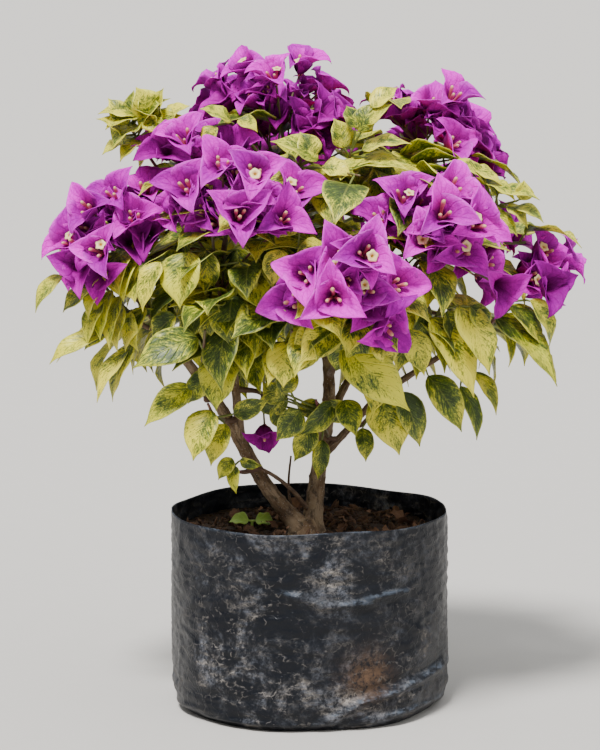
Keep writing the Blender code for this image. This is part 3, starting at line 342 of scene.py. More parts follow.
# Sprays on the seen side: the (column, row, depth) of the leafy stem's start and end, then each
# leaf's base and tip, its width in pixels and how far its tip leans towards the eye
SEEN_SPRAYS = {
    "left_low": ((205, 396, -0.045), (205, 330, -0.092), [
        (198, 338, 133, 368, 38, 0.012), (191, 386, 144, 426, 28, 0.010),
        (209, 372, 188, 404, 24, -0.006),
    ]),
    "left_under": ((224, 420, -0.042), (208, 404, -0.078), [
        (211, 410, 193, 461, 34, 0.010), (226, 424, 210, 466, 25, 0.006),
        (234, 414, 269, 400, 20, 0.004),
    ]),
    "left_middle": ((228, 330, -0.066), (212, 232, -0.082), [
        (233, 296, 230, 347, 43, 0.012), (189, 252, 180, 309, 45, 0.012),
        (227, 352, 216, 411, 42, 0.012), (262, 336, 242, 363, 25, 0.004),
        (160, 262, 142, 312, 26, 0.006),
    ]),
    "left_outer": ((140, 322, -0.044), (88, 262, -0.048), [
        (62, 276, 34, 312, 24, 0.0), (101, 334, 48, 362, 22, 0.004),
        (128, 350, 97, 403, 22, 0.006), (134, 344, 112, 402, 24, -0.010),
        (104, 300, 86, 346, 24, 0.010), (122, 306, 116, 352, 26, 0.012),
        (146, 224, 127, 255, 20, 0.006),
    ]),
    "middle_left": ((286, 398, -0.040), (292, 330, -0.100), [
        (288, 342, 283, 388, 37, 0.010), (300, 410, 276, 441, 26, 0.004),
        (282, 250, 272, 286, 28, 0.002), (300, 226, 264, 231, 28, 0.0),
    ]),
    "front_middle": ((341, 338, -0.098), (345, 300, -0.118), [
        (337, 322, 299, 364, 35, 0.014), (343, 346, 410, 411, 44, 0.014),
        (408, 330, 424, 376, 30, 0.006), (360, 330, 352, 366, 24, -0.004),
    ]),
    "inner_low": ((328, 436, -0.010), (316, 400, -0.062), [
        (333, 403, 299, 435, 24, 0.010), (344, 400, 356, 437, 26, 0.012),
        (312, 424, 294, 462, 24, 0.002), (322, 440, 318, 480, 18, 0.004),
    ]),
    "right_low": ((362, 424, -0.014), (386, 386, -0.066), [
        (378, 396, 400, 455, 45, 0.010), (400, 392, 420, 447, 30, -0.004),
        (362, 428, 366, 462, 19, 0.006), (372, 382, 372, 414, 24, 0.012),
    ]),
    "right_middle": ((412, 346, -0.050), (446, 296, -0.090), [
        (431, 318, 474, 398, 39, 0.012), (458, 306, 490, 375, 40, 0.012),
        (428, 376, 462, 432, 34, 0.004), (404, 330, 396, 372, 26, 0.008),
    ]),
    "right_outer": ((468, 346, -0.014), (506, 300, -0.030), [
        (495, 316, 557, 387, 45, 0.012), (474, 372, 497, 415, 25, 0.010),
        (460, 386, 478, 440, 22, 0.006), (530, 300, 552, 346, 30, -0.008),
    ]),
    "low_twig": ((241, 472, -0.034), (233, 462, -0.044), [
        (232, 458, 218, 480, 16, 0.004), (235, 466, 236, 494, 14, 0.006),
        (240, 460, 262, 466, 12, 0.002),
    ]),
    "upper_left": ((178, 196, -0.012), (128, 124, -0.016), [
        (124, 136, 97, 118, 24, 0.006), (128, 124, 108, 98, 22, -0.004),
        (136, 116, 134, 90, 22, 0.0), (142, 124, 170, 98, 28, 0.006),
        (130, 144, 102, 154, 24, 0.010), (148, 132, 186, 116, 24, 0.004),
    ]),
    "middle_top": ((290, 196, -0.030), (302, 158, -0.066), [
        (318, 160, 270, 142, 34, 0.006), (322, 168, 352, 176, 28, 0.004),
        (300, 176, 262, 196, 24, 0.004),
    ]),
    "middle_upper": ((262, 158, -0.024), (226, 118, -0.052), [
        (231, 122, 200, 108, 22, 0.004), (238, 120, 258, 132, 20, 0.004),
        (214, 126, 206, 146, 20, 0.006),
    ]),
    "right_top": ((340, 196, -0.022), (352, 148, -0.040), [
        (344, 148, 334, 118, 27, -0.004), (362, 150, 412, 144, 26, 0.006),
        (348, 166, 414, 166, 24, 0.012), (372, 108, 398, 88, 22, -0.010),
        (366, 124, 392, 104, 26, 0.0), (352, 190, 340, 214, 24, 0.010),
    ]),
    "right_upper": ((446, 236, -0.026), (502, 204, -0.034), [
        (470, 168, 502, 186, 22, 0.004), (498, 192, 540, 200, 24, 0.006),
        (486, 214, 518, 236, 24, 0.008), (516, 208, 544, 222, 22, 0.004),
        (520, 200, 524, 180, 22, -0.004),
    ]),
}

# Further leaves that the photograph shows on the sprays, given in the same way
MORE_LEAVES = {
    "upper_left": [
        (150, 114, 136, 87, 32, 0.004), (162, 116, 164, 88, 38, 0.006), (168, 122, 190, 106, 32, 0.002),
        (156, 110, 160, 136, 38, 0.012), (138, 118, 105, 128, 38, 0.010), (140, 126, 112, 147, 40, 0.012),
        (148, 140, 119, 160, 35, 0.010), (138, 116, 98, 112, 30, 0.0), (150, 128, 133, 108, 35, 0.010),
        (160, 130, 178, 142, 32, 0.006), (156, 146, 138, 168, 30, 0.004), (148, 120, 150, 96, 35, -0.006),
    ],
    "right_top": [
        (362, 164, 322, 184, 22, 0.010), (348, 184, 326, 214, 24, 0.010), (350, 200, 376, 184, 22, 0.008),
        (376, 168, 352, 196, 26, -0.010), (384, 160, 374, 200, 28, -0.014), (360, 132, 374, 102, 24, -0.006),
        (344, 176, 366, 206, 26, -0.004), (356, 128, 346, 106, 22, -0.008),
    ],
    "middle_top": [
        (312, 158, 300, 132, 26, -0.004), (304, 168, 332, 196, 26, 0.002), (298, 164, 272, 168, 24, 0.002),
        (310, 176, 306, 206, 24, 0.004),
    ],
    "right_upper": [
        (486, 184, 451, 159, 22, 0.010), (484, 182, 516, 200, 22, 0.008), (472, 206, 512, 230, 25, 0.010),
        (484, 214, 496, 242, 26, -0.006), (496, 196, 480, 170, 24, -0.004), (506, 206, 528, 228, 24, 0.0),
    ],
    "left_outer": [
        (102, 284, 88, 320, 22, 0.010), (112, 290, 100, 342, 24, 0.012), (120, 296, 109, 350, 24, 0.014),
        (98, 276, 80, 303, 22, 0.008), (146, 308, 124, 352, 27, 0.004), (138, 250, 134, 284, 24, 0.010),
        (130, 312, 138, 352, 24, 0.004), (112, 326, 84, 350, 22, -0.004), (92, 290, 62, 312, 22, -0.008),
    ],
    "left_middle": [
        (176, 316, 152, 342, 28, -0.012), (204, 316, 178, 336, 26, -0.014), (240, 262, 252, 300, 28, -0.004),
        (206, 250, 214, 288, 28, -0.006), (246, 310, 262, 344, 28, -0.008), (216, 300, 204, 342, 28, -0.012),
    ],
    "right_middle": [
        (424, 312, 414, 352, 26, -0.010), (446, 312, 456, 346, 28, -0.012), (470, 306, 486, 338, 26, -0.010),
    ],
    "right_outer": [
        (502, 322, 511, 367, 15, 0.004), (510, 306, 544, 350, 30, -0.006), (486, 322, 470, 352, 24, -0.010),
    ],
    "front_middle": [
        (322, 330, 292, 350, 28, 0.004), (378, 334, 392, 366, 30, 0.002), (346, 338, 336, 372, 28, -0.010),
    ],
    "inner_low": [
        (320, 404, 296, 412, 22, -0.004), (330, 400, 344, 424, 24, -0.008),
        (288, 398, 254, 408, 24, -0.010), (284, 400, 262, 382, 22, -0.006), (282, 392, 296, 366, 22, -0.004),
        (276, 404, 288, 432, 20, -0.006),
    ],
}

# Heads of bracts on the seen side: the (column, row, depth) of the foot, the size of the bracts, the
# depth of the foremost flower, how far back the outermost ones lie, and each flower's column and row
SEEN_HEADS = {
    "top": ((283, 137, 0.002), 0.80, -0.004, 0.050, [
        (214, 76), (242, 62), (272, 70), (302, 58), (326, 80), (250, 94), (292, 98), (338, 104),
        (204, 100),
    ]),
    "upper_right": ((424, 178, 0.034), 0.84, 0.022, 0.040, [
        (434, 100), (474, 118), (408, 96), (458, 142), (494, 150), (456, 92), (388, 98),
    ]),
    "left": ((226, 236, -0.062), 0.96, -0.128, 0.050, [
        (184, 184), (220, 160), (256, 170), (298, 186), (240, 212), (168, 208), (206, 222),
        (286, 216), (264, 200),
    ]),
    "left_outer": ((120, 262, -0.030), 0.90, -0.082, 0.040, [
        (84, 206), (112, 190), (66, 238), (96, 250), (132, 214), (146, 184), (74, 268),
    ]),
    "left_upper": ((200, 186, -0.020), 0.84, -0.060, 0.030, [
        (152, 140), (182, 134), (216, 132),
    ]),
    "right": ((426, 262, -0.058), 0.96, -0.120, 0.050, [
        (404, 192), (426, 236), (456, 186), (466, 250), (492, 262), (380, 214), (480, 222),
        (446, 210),
    ]),
    "right_outer": ((506, 286, -0.004), 0.90, -0.048, 0.036, [
        (548, 251), (572, 256), (536, 278), (560, 288),
    ]),
    "front": ((350, 300, -0.092), 1.00, -0.176, 0.046, [
        (342, 258), (333, 297), (290, 301), (367, 290), (389, 331), (303, 273), (402, 284),
        (368, 250),
    ]),
    "low": ((263, 402, -0.036), 0.64, -0.046, 0.0, [
        (264, 438),
    ]),
}

# Further threes of bracts, half hidden low in a head: (column, row) and depth
UNDER_BRACTS = {
    "top": [
        (276, 118, 0.004), (300, 124, -0.002), (322, 112, 0.0), (298, 140, 0.0), (318, 134, 0.006),
        (226, 102, 0.008), (336, 122, 0.010),
    ],
    "upper_right": [(440, 124, 0.034), (470, 142, 0.034), (486, 164, 0.034)],
    "left_upper": [(166, 150, -0.052), (232, 148, -0.052)],
    "left_outer": [(80, 266, -0.070), (102, 274, -0.064), (130, 240, -0.058), (148, 232, -0.058)],
    "right_outer": [(548, 286, -0.040)],
    "right": [(500, 286, -0.092)],
}
# Painted shade of the threes low in a head
UNDER_SHADE = 0.40
UNDER_SIZES = (0.80, 0.92)
# How far they turn to the eye, outwards and at random, and how deep the throat lies
UNDER_EYE, UNDER_OUT, UNDER_WANDER, UNDER_DEPTH = 0.8, 0.4, 0.4, 0.010

# Rings of growth on the far side: elevation and sweep in degrees, how many, which of them bear heads
FAR_RINGS = [(-20, 112, 5, ()), (12, 112, 7, (1, 3, 5)), (42, 90, 5, (1, 3)), (66, 100, 2, (0,))]
FAR_LEAVES = 4
FAR_STEM = [(0.50, 0.0), (0.70, 0.004), (0.88, 0.0)]
FAR_TRIPLETS = 4
FAR_SIZE = 0.95
FAR_TURN = 1.7
FAR_HEAD_FOOT, FAR_HEAD_TOP, FAR_HEAD_SIDE = 0.44, 0.94, 0.86
FAR_HEAD_ROUND = 0.046

# Weed seedling: the (column, row, depth) of its top, then each leaf's tip
SEEDLING_TOP = (252, 520, 0.012)
SEEDLING_TIPS = [(229, 522), (275, 523)]
SEEDLING_WIDTH = 0.014
SEEDLING_RADIUS = 0.0009
SEEDLING_DEPTH = 0.008
SEEDLING_FORK = 0.0015
SEEDLING_PETIOLE = 0.15


def seen(column, row, depth):
    """The point that the photograph shows at that column and row, this deep behind the trunk."""
    across = (column - MIDDLE_COLUMN) / EYE_FOCAL
    above = (MIDDLE_ROW - row) / EYE_FOCAL
    cosine, sine = math.cos(EYE_PITCH), math.sin(EYE_PITCH)
    ray = Vector((across, cosine + above * sine, above * cosine - sine))
    return EYE + ray * ((depth - EYE.y) / ray.y)


def shown(point):
    """The column and row at which the photograph shows this point."""
    away = point - EYE
    cosine, sine = math.cos(EYE_PITCH), math.sin(EYE_PITCH)
    distance = away.y * cosine - away.z * sine
    above = (away.y * sine + away.z * cosine) / distance
    return MIDDLE_COLUMN + EYE_FOCAL * away.x / distance, MIDDLE_ROW - EYE_FOCAL * above


def on_bag(column, row):
    """The angle round the bag and the height that the photograph shows there."""
    ray = seen(column, row, 0.0) - EYE
    a = ray.x**2 + ray.y**2
    b = EYE.x * ray.x + EYE.y * ray.y
    c = EYE.x**2 + EYE.y**2 - BAG_RADIUS**2
    point = EYE + ray * ((-b - math.sqrt(max(b * b - a * c, 0.0))) / a)
    return math.atan2(point.y, point.x), point.z


def outward(point):
    """The direction from the crown's middle to this point, in the crown's own proportions."""
    return Vector([a / r for a, r in zip(point - CROWN, REACH)]).normalized()


def square_to(vector, axis):
    """The part of this vector square to the axis, as a direction."""
    return (vector - axis * vector.dot(axis)).normalized()


def two_across(axis):
    """Two directions square to the axis and to each other."""
    across = square_to(UP if abs(axis.z) < 0.9 else Vector((0, 1, 0)), axis)
    return across, axis.cross(across)


def turned(angle, across, aside):
    """The direction at this angle between two that are square to each other."""
    return across * math.cos(angle) + aside * math.sin(angle)


def wander(draw, size):
    """A random step of up to this size each way."""
    return Vector([draw.uniform(-size, size) for _ in range(3)])


def fading(distance, width):
    """1 where the distance is 0, and fading out over this width."""
    return np.exp(-((distance / width) ** 2))


def crumple(angle, height):
    """How far the film stands out there: slow waves all round, and shorter ones low down."""
    def wave(size, count, twist, start):
        return size * np.sin(count * angle + twist * height + start)

    low = np.maximum(0.0, 1 - height / BAG_HEIGHT)
    return sum(wave(*shape) for shape in FILM_WAVES) + low * wave(*LOW_FILM_WAVE)


def limb_lines():
    """Each limb's points and radii."""
    lines = {}
    for name, (points, start, stop) in LIMBS.items():
        line = [seen(*point) for point in points]
        last = len(line) - 1
        lines[name] = (line, [start + (stop - start) * i / last for i in range(last + 1)])
    return lines


def stem_point(stem, distance):
    """The point this far along a stem."""
    for start, stop in zip(stem, stem[1:]):
        run = (stop - start).length
        if distance <= run or stop is stem[-1]:
            return start.lerp(stop, min(distance / run, STEM_END))
        distance -= run


def leaf_roots(stem, places):
    """Where each seen leaf leaves its stem: as near to its base as its neighbours allow."""
    length = sum((b - a).length for a, b in zip(stem, stem[1:]))
    middle_depth = sum(p.y for p in stem) / len(stem)
    steps = [length * i / STEM_STEPS for i in range(2, STEM_STEPS - 1)]
    wanted = []
    for i, (column, row, *_) in enumerate(places):
        guess = seen(column, row, middle_depth)
        wanted.append((min(steps, key=lambda d: (stem_point(stem, d) - guess).length), i))
    limit = length - PETIOLE_SPACING / 2
    roots = {}
    for distance, i in sorted(wanted, reverse=True):
        limit = min(limit, distance)
        roots[i] = stem_point(stem, limit)
        limit -= PETIOLE_SPACING
    return [roots[i] for i in range(len(places))]


def seen_leaf(root, place, shift):
    """A leaf that the photograph shows."""
    column, row, tip_column, tip_row, width, lean = place
    base = seen(column, row, root.y - PETIOLE_DEPTH + shift)
    tip = seen(tip_column, tip_row, base.y - lean)
    return Leaf(root, base, tip, width * PIXEL, outward(base) + Vector(LEAF_FACING))


def grown_leaves(stem, draw):
    """Leaves that follow each other round a stem by the golden turn and hang outwards."""
    leaves = []
    for i in range(FAR_LEAVES):
        place = (i + GROWN_START) / FAR_LEAVES * (len(stem) - 1)
        at = min(int(place), len(stem) - 2)
        along = (stem[at + 1] - stem[at]).normalized()
        root = stem[at].lerp(stem[at + 1], place - at)
        across, aside = two_across(along)
        first_turn = i * GOLDEN_TURN + draw.uniform(-GROWN_WANDER, GROWN_WANDER)
        reach = draw.uniform(*GROWN_PETIOLE)
        droop = -UP * draw.uniform(*GROWN_DROOP)
        length = draw.uniform(*GROWN_LENGTH)
        width = length * draw.uniform(*GROWN_SHAPE)
        places = []
        for more in TURN_TRIES:
            out = turned(first_turn + more, across, aside)
            base = root + (out + along * PETIOLE_FORWARD).normalized() * reach
            away = outward(base)
            hang = (out + away) * GROWN_OUT + along * GROWN_FORWARD + droop
            hang.z = min(hang.z, GROWN_LEVEL)
            tip = base + hang.normalized() * length
            places.append(Leaf(root, base, tip, width, away * GROWN_OUT + UP))
        leaves.append(places)
    return leaves


def far_growth():
    """Name, heading and whether it bears a head, for each growth on the far side."""
    for ring_number, (elevation, sweep, count, heads) in enumerate(FAR_RINGS):
        tilt = math.radians(elevation)
        for i in range(count):
            swing = math.radians(sweep) * (2 * (i + 0.5) / count - 1)
            flat = Vector((math.sin(swing), math.cos(swing), 0))
            heading = flat * math.cos(tilt) + UP * math.sin(tilt)
            yield f"far_{ring_number}{i}", heading, i in heads


def crown_point(heading, share):
    """A point of the crown this way from its middle, at a share of its reach."""
    return CROWN + Vector([a * r for a, r in zip(heading, REACH)]) * share


def spray_plan():
    """Every spray of leaves, each leaf with the places that it may take."""
    sprays = []
    for name, (start, stop, places) in SEEN_SPRAYS.items():
        ends = [seen(*start), seen(*stop)]
        stem = [ends[0], ends[0].lerp(ends[1], 0.5) + outward(ends[0]) * STEM_BOW, ends[1]]
        leaves = []
        for root, place in zip(leaf_roots(stem, places), places):
            leaves.append([seen_leaf(root, place, shift) for shift in DEPTH_TRIES])
        sprays.append(Spray(name, stem, leaves))
    for name, heading, bears_head in far_growth():
        if bears_head:
            continue
        stem = [crown_point(heading, share) + UP * lift for share, lift in FAR_STEM]
        sprays.append(Spray(name, stem, grown_leaves(stem, random.Random(name))))
    return sprays


def head_of(name, foot, size, flowers, facing):
    """A head whose triplets fork off a short rachis, each with a bract pointing out of the head."""
    draw = random.Random(name)
    middle = sum((tries[0] for tries in flowers), Vector()) / len(flowers)
    heading = (middle - foot).normalized()
    throats_middle = middle - heading * FLOWER_LENGTH * size
    rachis = [foot.lerp(throats_middle, share) for share in RACHIS_SHARES]
    triplets = []
    for i, tries in enumerate(flowers):
        fork = rachis[0].lerp(rachis[-1], FORKS_FROM + FORKS_OVER * i / len(flowers))
        own_lean = wander(draw, TRIPLET_WANDER)
        own_size = size * draw.uniform(*TRIPLET_SIZES)
        places = []
        for flower in tries:
            axis = (flower - fork).normalized() + outward(flower) * FACING_OUT + facing
            axis = (axis.normalized() + own_lean).normalized()
            throat = flower - axis * FLOWER_LENGTH * own_size
            stalk = throat - fork
            if stalk.length < SHORTEST_STALK or stalk.normalized().dot(axis) < STALK_TURN:
                continue
            across, aside = two_across(axis)
            away = flower - middle + heading * STALK_RADIUS
            spin = math.atan2(away.dot(aside), away.dot(across))
            places.append(Triplet(fork, throat, axis, spin, own_size))
        triplets.append(places)
    return Head(name, rachis, triplets)


def head_plan():
    """Every head of bracts, each triplet with the places that it may take."""
    up = UP * FACING_UP
    heads = []
    for name, (foot, size, front, doming, places) in SEEN_HEADS.items():
        middle = Vector((sum(c for c, _ in places), sum(r for _, r in places))) / len(places)
        widest = max((Vector(place) - middle).length for place in places) or 1.0
        flowers = []
        for place in places:
            depth = front + doming * ((Vector(place) - middle).length / widest) ** 2
            flowers.append([seen(*place, depth + shift) for shift in DEPTH_TRIES])
        heads.append(head_of(name, seen(*foot), size, flowers, up - Vector((0, FACING_EYE, 0))))
    for name, heading, bears_head in far_growth():
        if not bears_head:
            continue
        across, aside = two_across(heading)
        flowers = [[crown_point(heading, FAR_HEAD_TOP)]]
        for i in range(FAR_TRIPLETS - 1):
            turn = math.tau * i / (FAR_TRIPLETS - 1) + FAR_TURN * heading.x
            out = turned(turn, across, aside)
            flowers.append([crown_point(heading, FAR_HEAD_SIDE) + out * FAR_HEAD_ROUND])
        heads.append(head_of(name, crown_point(heading, FAR_HEAD_FOOT), FAR_SIZE, flowers, up))
    return heads


def corner_tree(node):
    """Finds the nearest corner of one of the model's solids."""
    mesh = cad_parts[node].data
    tree = KDTree(len(mesh.vertices))
    for i, vertex in enumerate(mesh.vertices):
        tree.insert(vertex.co, i)
    tree.balance()
    return tree


def is_corner(tree, point):
    """Whether the solid has a corner at this point."""
    return tree.find(point)[2] < CORNER_REACH


def put(name, data):
    """A new object in the scene."""
    obj = bpy.data.objects.new(name, data)
    bpy.context.scene.collection.objects.link(obj)
    return obj


class Gathering:
    """Points, faces, places and tints of the many small shapes that make one piece."""

    def __init__(self):
        self.points, self.faces, self.places, self.tints = [], [], [], []
        self.count = 0

    def add(self, points, faces, places, tint):
        """Adds a shape whose faces count its own points from 0."""
        points = np.asarray(points, float).reshape(-1, 3)
        self.faces.extend([tuple(i + self.count for i in face) for face in faces])
        self.points.append(points)
        self.places.append(np.asarray(places, float).reshape(-1, 2))
        self.tints.append(np.broadcast_to(np.asarray(tint, float), (len(points), 4)))
        self.count += len(points)

    def make(self, name, material, slot, nodes=(), thickness=0.0):
        """The piece, standing for these solids."""
        mesh = bpy.data.meshes.new(name)
        mesh.from_pydata(np.vstack(self.points).tolist(), [], self.faces)
        corners = np.empty(len(mesh.loops), np.int32)
        mesh.loops.foreach_get("vertex_index", corners)
        layer = mesh.uv_layers.new(name="place")
        layer.data.foreach_set("uv", np.vstack(self.places)[corners].astype(np.float32).ravel())
        tint = mesh.color_attributes.new("tint", "FLOAT_COLOR", "POINT")
        tint.data.foreach_set("color", np.vstack(self.tints).astype(np.float32).ravel())
        mesh.shade_smooth()
        mesh.materials.append(material)
        obj = put(name, mesh)
        if thickness:
            sheet = obj.modifiers.new("thickness", "SOLIDIFY")
            sheet.thickness = thickness
            sheet.offset = 0
        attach(obj, "root")
        if nodes:
            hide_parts(*nodes)
        return obj


def grid_faces(rows, columns, closed=False):
    """Quads between the points of a grid, counted row by row."""
    faces = []
    for i in range(rows - 1):
        for j in range(columns if closed else columns - 1):
            k = (j + 1) % columns
            faces.append((i * columns + j, i * columns + k, (i + 1) * columns + k, (i + 1) * columns + j))
    return faces


def pipe_faces(rings, sides):
    """The wall and the two end caps of a pipe, its points counted ring by ring."""
    wall = [face[::-1] for face in grid_faces(rings, sides, closed=True)]
    return [*wall, tuple(range(sides)), tuple((rings - 1) * sides + i for i in reversed(range(sides)))]


LEAF_FACES = grid_faces(len(LEAF_OUTLINE), LEAF_COLUMNS)
BRACT_FACES = grid_faces(len(BRACT_OUTLINE), BRACT_COLUMNS)


def smooth_line(line, radii, step):
    """The line with its corners cut and its points this far apart, with their radii."""
    points = np.array([[*p, r] for p, r in zip(line, radii)], float)
    for _ in range(2):
        near = points[:-1] * 0.75 + points[1:] * 0.25
        far = points[:-1] * 0.25 + points[1:] * 0.75
        middle = np.empty((2 * len(near), 4))
        middle[0::2], middle[1::2] = near, far
        points = np.vstack([points[:1], middle, points[-1:]])
    runs = np.concatenate([[0], np.cumsum(np.linalg.norm(np.diff(points[:, :3], axis=0), axis=1))])
    count = max(3, int(runs[-1] / step) + 1)
    at = np.linspace(0, runs[-1], count)
    spread = np.stack([np.interp(at, runs, points[:, k]) for k in range(4)], axis=1)
    return spread[:, :3], spread[:, 3], at


def rod(gathering, line, radii, sides, step, tint, relief=None):
    """A round rod along the line, closed at both ends, with its radius varied by relief."""
    points, radii, at = smooth_line(line, radii, step)
    tangents = np.gradient(points, axis=0)
    tangents /= np.linalg.norm(tangents, axis=1)[:, None]
    across = np.array(two_across(Vector(tangents[0]))[0])
    turns = np.linspace(0, math.tau, sides, endpoint=False)
    rings = []
    for i, (point, tangent, radius) in enumerate(zip(points, tangents, radii)):
        across = across - tangent * across.dot(tangent)
        across /= np.linalg.norm(across)
        aside = np.cross(tangent, across)
        out = np.outer(np.cos(turns), across) + np.outer(np.sin(turns), aside)
        reach = radius * (relief(at[i], turns, point) if relief else 1.0)
        rings.append(point + out * np.reshape(reach, (-1, 1)))
    places = [(j / sides, at[i]) for i in range(len(rings)) for j in range(sides)]
    gathering.add(np.vstack(rings), pipe_faces(len(rings), sides), places, tint)


def blade_rows(outline, columns):
    """Shares along and across a blade for each point, and its half width there."""
    rows = np.array(outline)
    along, across = np.meshgrid(rows[:, 0], np.linspace(-1, 1, columns), indexing="ij")
    return along, across, rows[:, 1][:, None]


def add_leaf(gathering, leaf, darkness, draw, outline=LEAF_OUTLINE, ripple=LEAF_RIPPLE):
    """An arched leaf folded along its midrib, with rippled margins, a turned tip and its petiole."""
    chord = leaf.tip - leaf.base
    length = chord.length
    along_way = chord.normalized()
    up = square_to(leaf.face, along_way)
    side = along_way.cross(up)
    u, v, wide = blade_rows(outline, LEAF_COLUMNS)
    half = leaf.width / 2 * wide
    twist = draw.uniform(-LEAF_TWIST, LEAF_TWIST) * (u - LEAF_TWIST_FROM)
    phase, more = draw.uniform(0, math.tau), draw.uniform(*LEAF_LAG)
    waves = np.sin(math.tau * LEAF_RIPPLES * u + phase + more * (v > 0))
    lift = half * (draw.uniform(*LEAF_FOLD) * np.sqrt(v**2 + FOLD_ROUNDING)
                   + draw.uniform(*ripple) * np.abs(v) ** LEAF_RIPPLE_POWER * waves)
    lift += LEAF_ARCH * length * 4 * u * (1 - u)
    near_tip = np.clip(u - LEAF_TURN_FROM, 0, 1) / (1 - LEAF_TURN_FROM)
    lift -= draw.uniform(*LEAF_TURN) * length * near_tip**2
    sideways = half * v * np.cos(twist) + draw.uniform(-LEAF_BEND, LEAF_BEND) * length * (u**2 - u)
    upward = lift + half * v * np.sin(twist)
    points = (np.array(leaf.base) + u[..., None] * np.array(chord)
              + sideways[..., None] * np.array(side) + upward[..., None] * np.array(up))
    places = np.stack([(v + 1) / 2, u], axis=-1)
    gathering.add(points, LEAF_FACES, places, (darkness, draw.random(), draw.random(), 1.0))
    blade_foot = leaf.base + along_way * length * PETIOLE_UNDER
    stalk = [leaf.root, leaf.root.lerp(leaf.base, 0.6) + up * PETIOLE_RISE, leaf.base, blade_foot]
    radii = [PETIOLE_RADIUS * share for share in PETIOLE_TAPER]
    rod(gathering, stalk, radii, PETIOLE_SIDES, PETIOLE_STEP, (darkness, 0.5, 0.5, 0.0))


def bract_way(triplet, number):
    """The directions out from a triplet's axis and across one of its three bracts."""
    across, aside = two_across(triplet.axis)
    radial = turned(triplet.spin + number * math.tau / 3, across, aside)
    return radial, triplet.axis.cross(radial)


def bract_tip(triplet, number, spread):
    """Where the model's bract ends."""
    radial, _ = bract_way(triplet, number)
    bend = BRACT_END * spread - BRACT_START
    angle = BRACT_START + bend
    rise = (math.sin(angle) - math.sin(BRACT_START)) / bend
    run = (math.cos(BRACT_START) - math.cos(angle)) / bend
    root = triplet.throat + radial * STALK_RADIUS / 2
    return root + (triplet.axis * rise + radial * run) * BRACT_LENGTH * triplet.size


def add_bract(gathering, triplet, number, spread, draw, shade=0.0):
    """A papery bract: cupped below, rippled along its margins, flared and curled back at its tip."""
    axis = np.array(triplet.axis)
    radial, side = (np.array(way) for way in bract_way(triplet, number))
    u, v, wide = blade_rows(BRACT_OUTLINE, BRACT_COLUMNS)
    length = BRACT_LENGTH * triplet.size * draw.uniform(*BRACT_LENGTHS)
    half = BRACT_WIDTH / 2 * triplet.size * draw.uniform(*BRACT_WIDTHS) * wide
    curl = draw.uniform(*BRACT_CURL)
    fine = np.linspace(0, 1, BEND_STEPS)
    opening = np.clip((fine - BRACT_CUP_END) / (1 - BRACT_CUP_END), 0, 1)
    bend = BRACT_END * spread - BRACT_START
    angles = BRACT_START + bend * (BRACT_CUP_SHARE * fine + (1 - BRACT_CUP_SHARE) * opening)
    angles += curl * np.clip(fine - BRACT_CURL_FROM, 0, 1) ** 2 / (1 - BRACT_CURL_FROM) ** 2
    rise = np.concatenate([[0], np.cumsum(np.cos(angles[:-1])) / (BEND_STEPS - 1)])
    run = np.concatenate([[0], np.cumsum(np.sin(angles[:-1])) / (BEND_STEPS - 1)])
    rows = u[:, 0]
    angle_at = np.interp(rows, fine, angles)
    centre = (np.array(triplet.throat) + radial * STALK_RADIUS / 2
              + np.outer(np.interp(rows, fine, rise), axis) * length
              + np.outer(np.interp(rows, fine, run), radial) * length)
    up = np.outer(np.sin(angle_at), axis) - np.outer(np.cos(angle_at), radial)
    phase, more = draw.uniform(0, math.tau), draw.uniform(*BRACT_LAG)
    waves = np.sin(math.tau * draw.uniform(*BRACT_RIPPLES) * u + phase + more * (v > 0))
    flatter = BRACT_FLATTER * np.clip((u - BRACT_FLAT_FROM) / BRACT_FLAT_OVER, 0, 1)
    cupped = draw.uniform(*BRACT_CUP) * (1 - flatter)
    lift = half * (cupped * np.abs(v) ** BRACT_CUP_POWER
                   + draw.uniform(*BRACT_FOLD) * np.sqrt(v**2 + FOLD_ROUNDING)
                   + draw.uniform(*BRACT_RIPPLE) * np.abs(v) ** 2 * waves)
    twist = draw.uniform(-BRACT_TWIST, BRACT_TWIST) * (u - BRACT_TWIST_FROM)
    bent = draw.uniform(-BRACT_BEND, BRACT_BEND) * length * u**2
    sideways = half * v * (1 - BRACT_DRAWN_IN * v**2) * np.cos(twist) + bent
    upward = lift + half * v * np.sin(twist)
    points = centre[:, None, :] + sideways[..., None] * side + upward[..., None] * up[:, None, :]
    places = np.stack([(v + 1) / 2, u], axis=-1)
    # The tint's last number is how far the bract is lit; below 1 it is painted shade
    gathering.add(points, BRACT_FACES, places, (draw.random(), draw.random(), draw.random(), 1.0 - shade))


def fill_triplets(chosen, draw):
    """Smaller triplets set between a head's own ones and a little deeper."""
    fills = []
    for triplet in chosen if len(chosen) > 2 else ():
        near = sorted(chosen, key=lambda other: (other.throat - triplet.throat).length)[1:3]
        for other in near:
            size = triplet.size * draw.uniform(*FILL_SIZES)
            axis = (triplet.axis + other.axis + wander(draw, FILL_WANDER)).normalized()
            middle = triplet.throat.lerp(other.throat, draw.uniform(*FILL_BETWEEN))
            throat = middle - axis * draw.uniform(*FILL_DEPTH)
            fork = triplet.fork.lerp(triplet.throat, draw.uniform(*FILL_FORK))
            fills.append(Triplet(fork, throat, axis, draw.uniform(0, math.tau), size))
    return fills


def under_triplets(head, draw):
    """Threes of bracts low in a head, which face out and down."""
    triplets = []
    for column, row, depth in UNDER_BRACTS.get(head.name, ()):
        place = seen(column, row, depth)
        axis = (place - head.rachis[0]).normalized() + Vector((0, -UNDER_EYE, 0))
        axis = (axis + outward(place) * UNDER_OUT + wander(draw, UNDER_WANDER)).normalized()
        fork = head.rachis[-1].lerp(place, 0.5)
        size = draw.uniform(*UNDER_SIZES)
        triplets.append(Triplet(fork, place - axis * UNDER_DEPTH, axis, draw.uniform(0, math.tau), size))
    return triplets


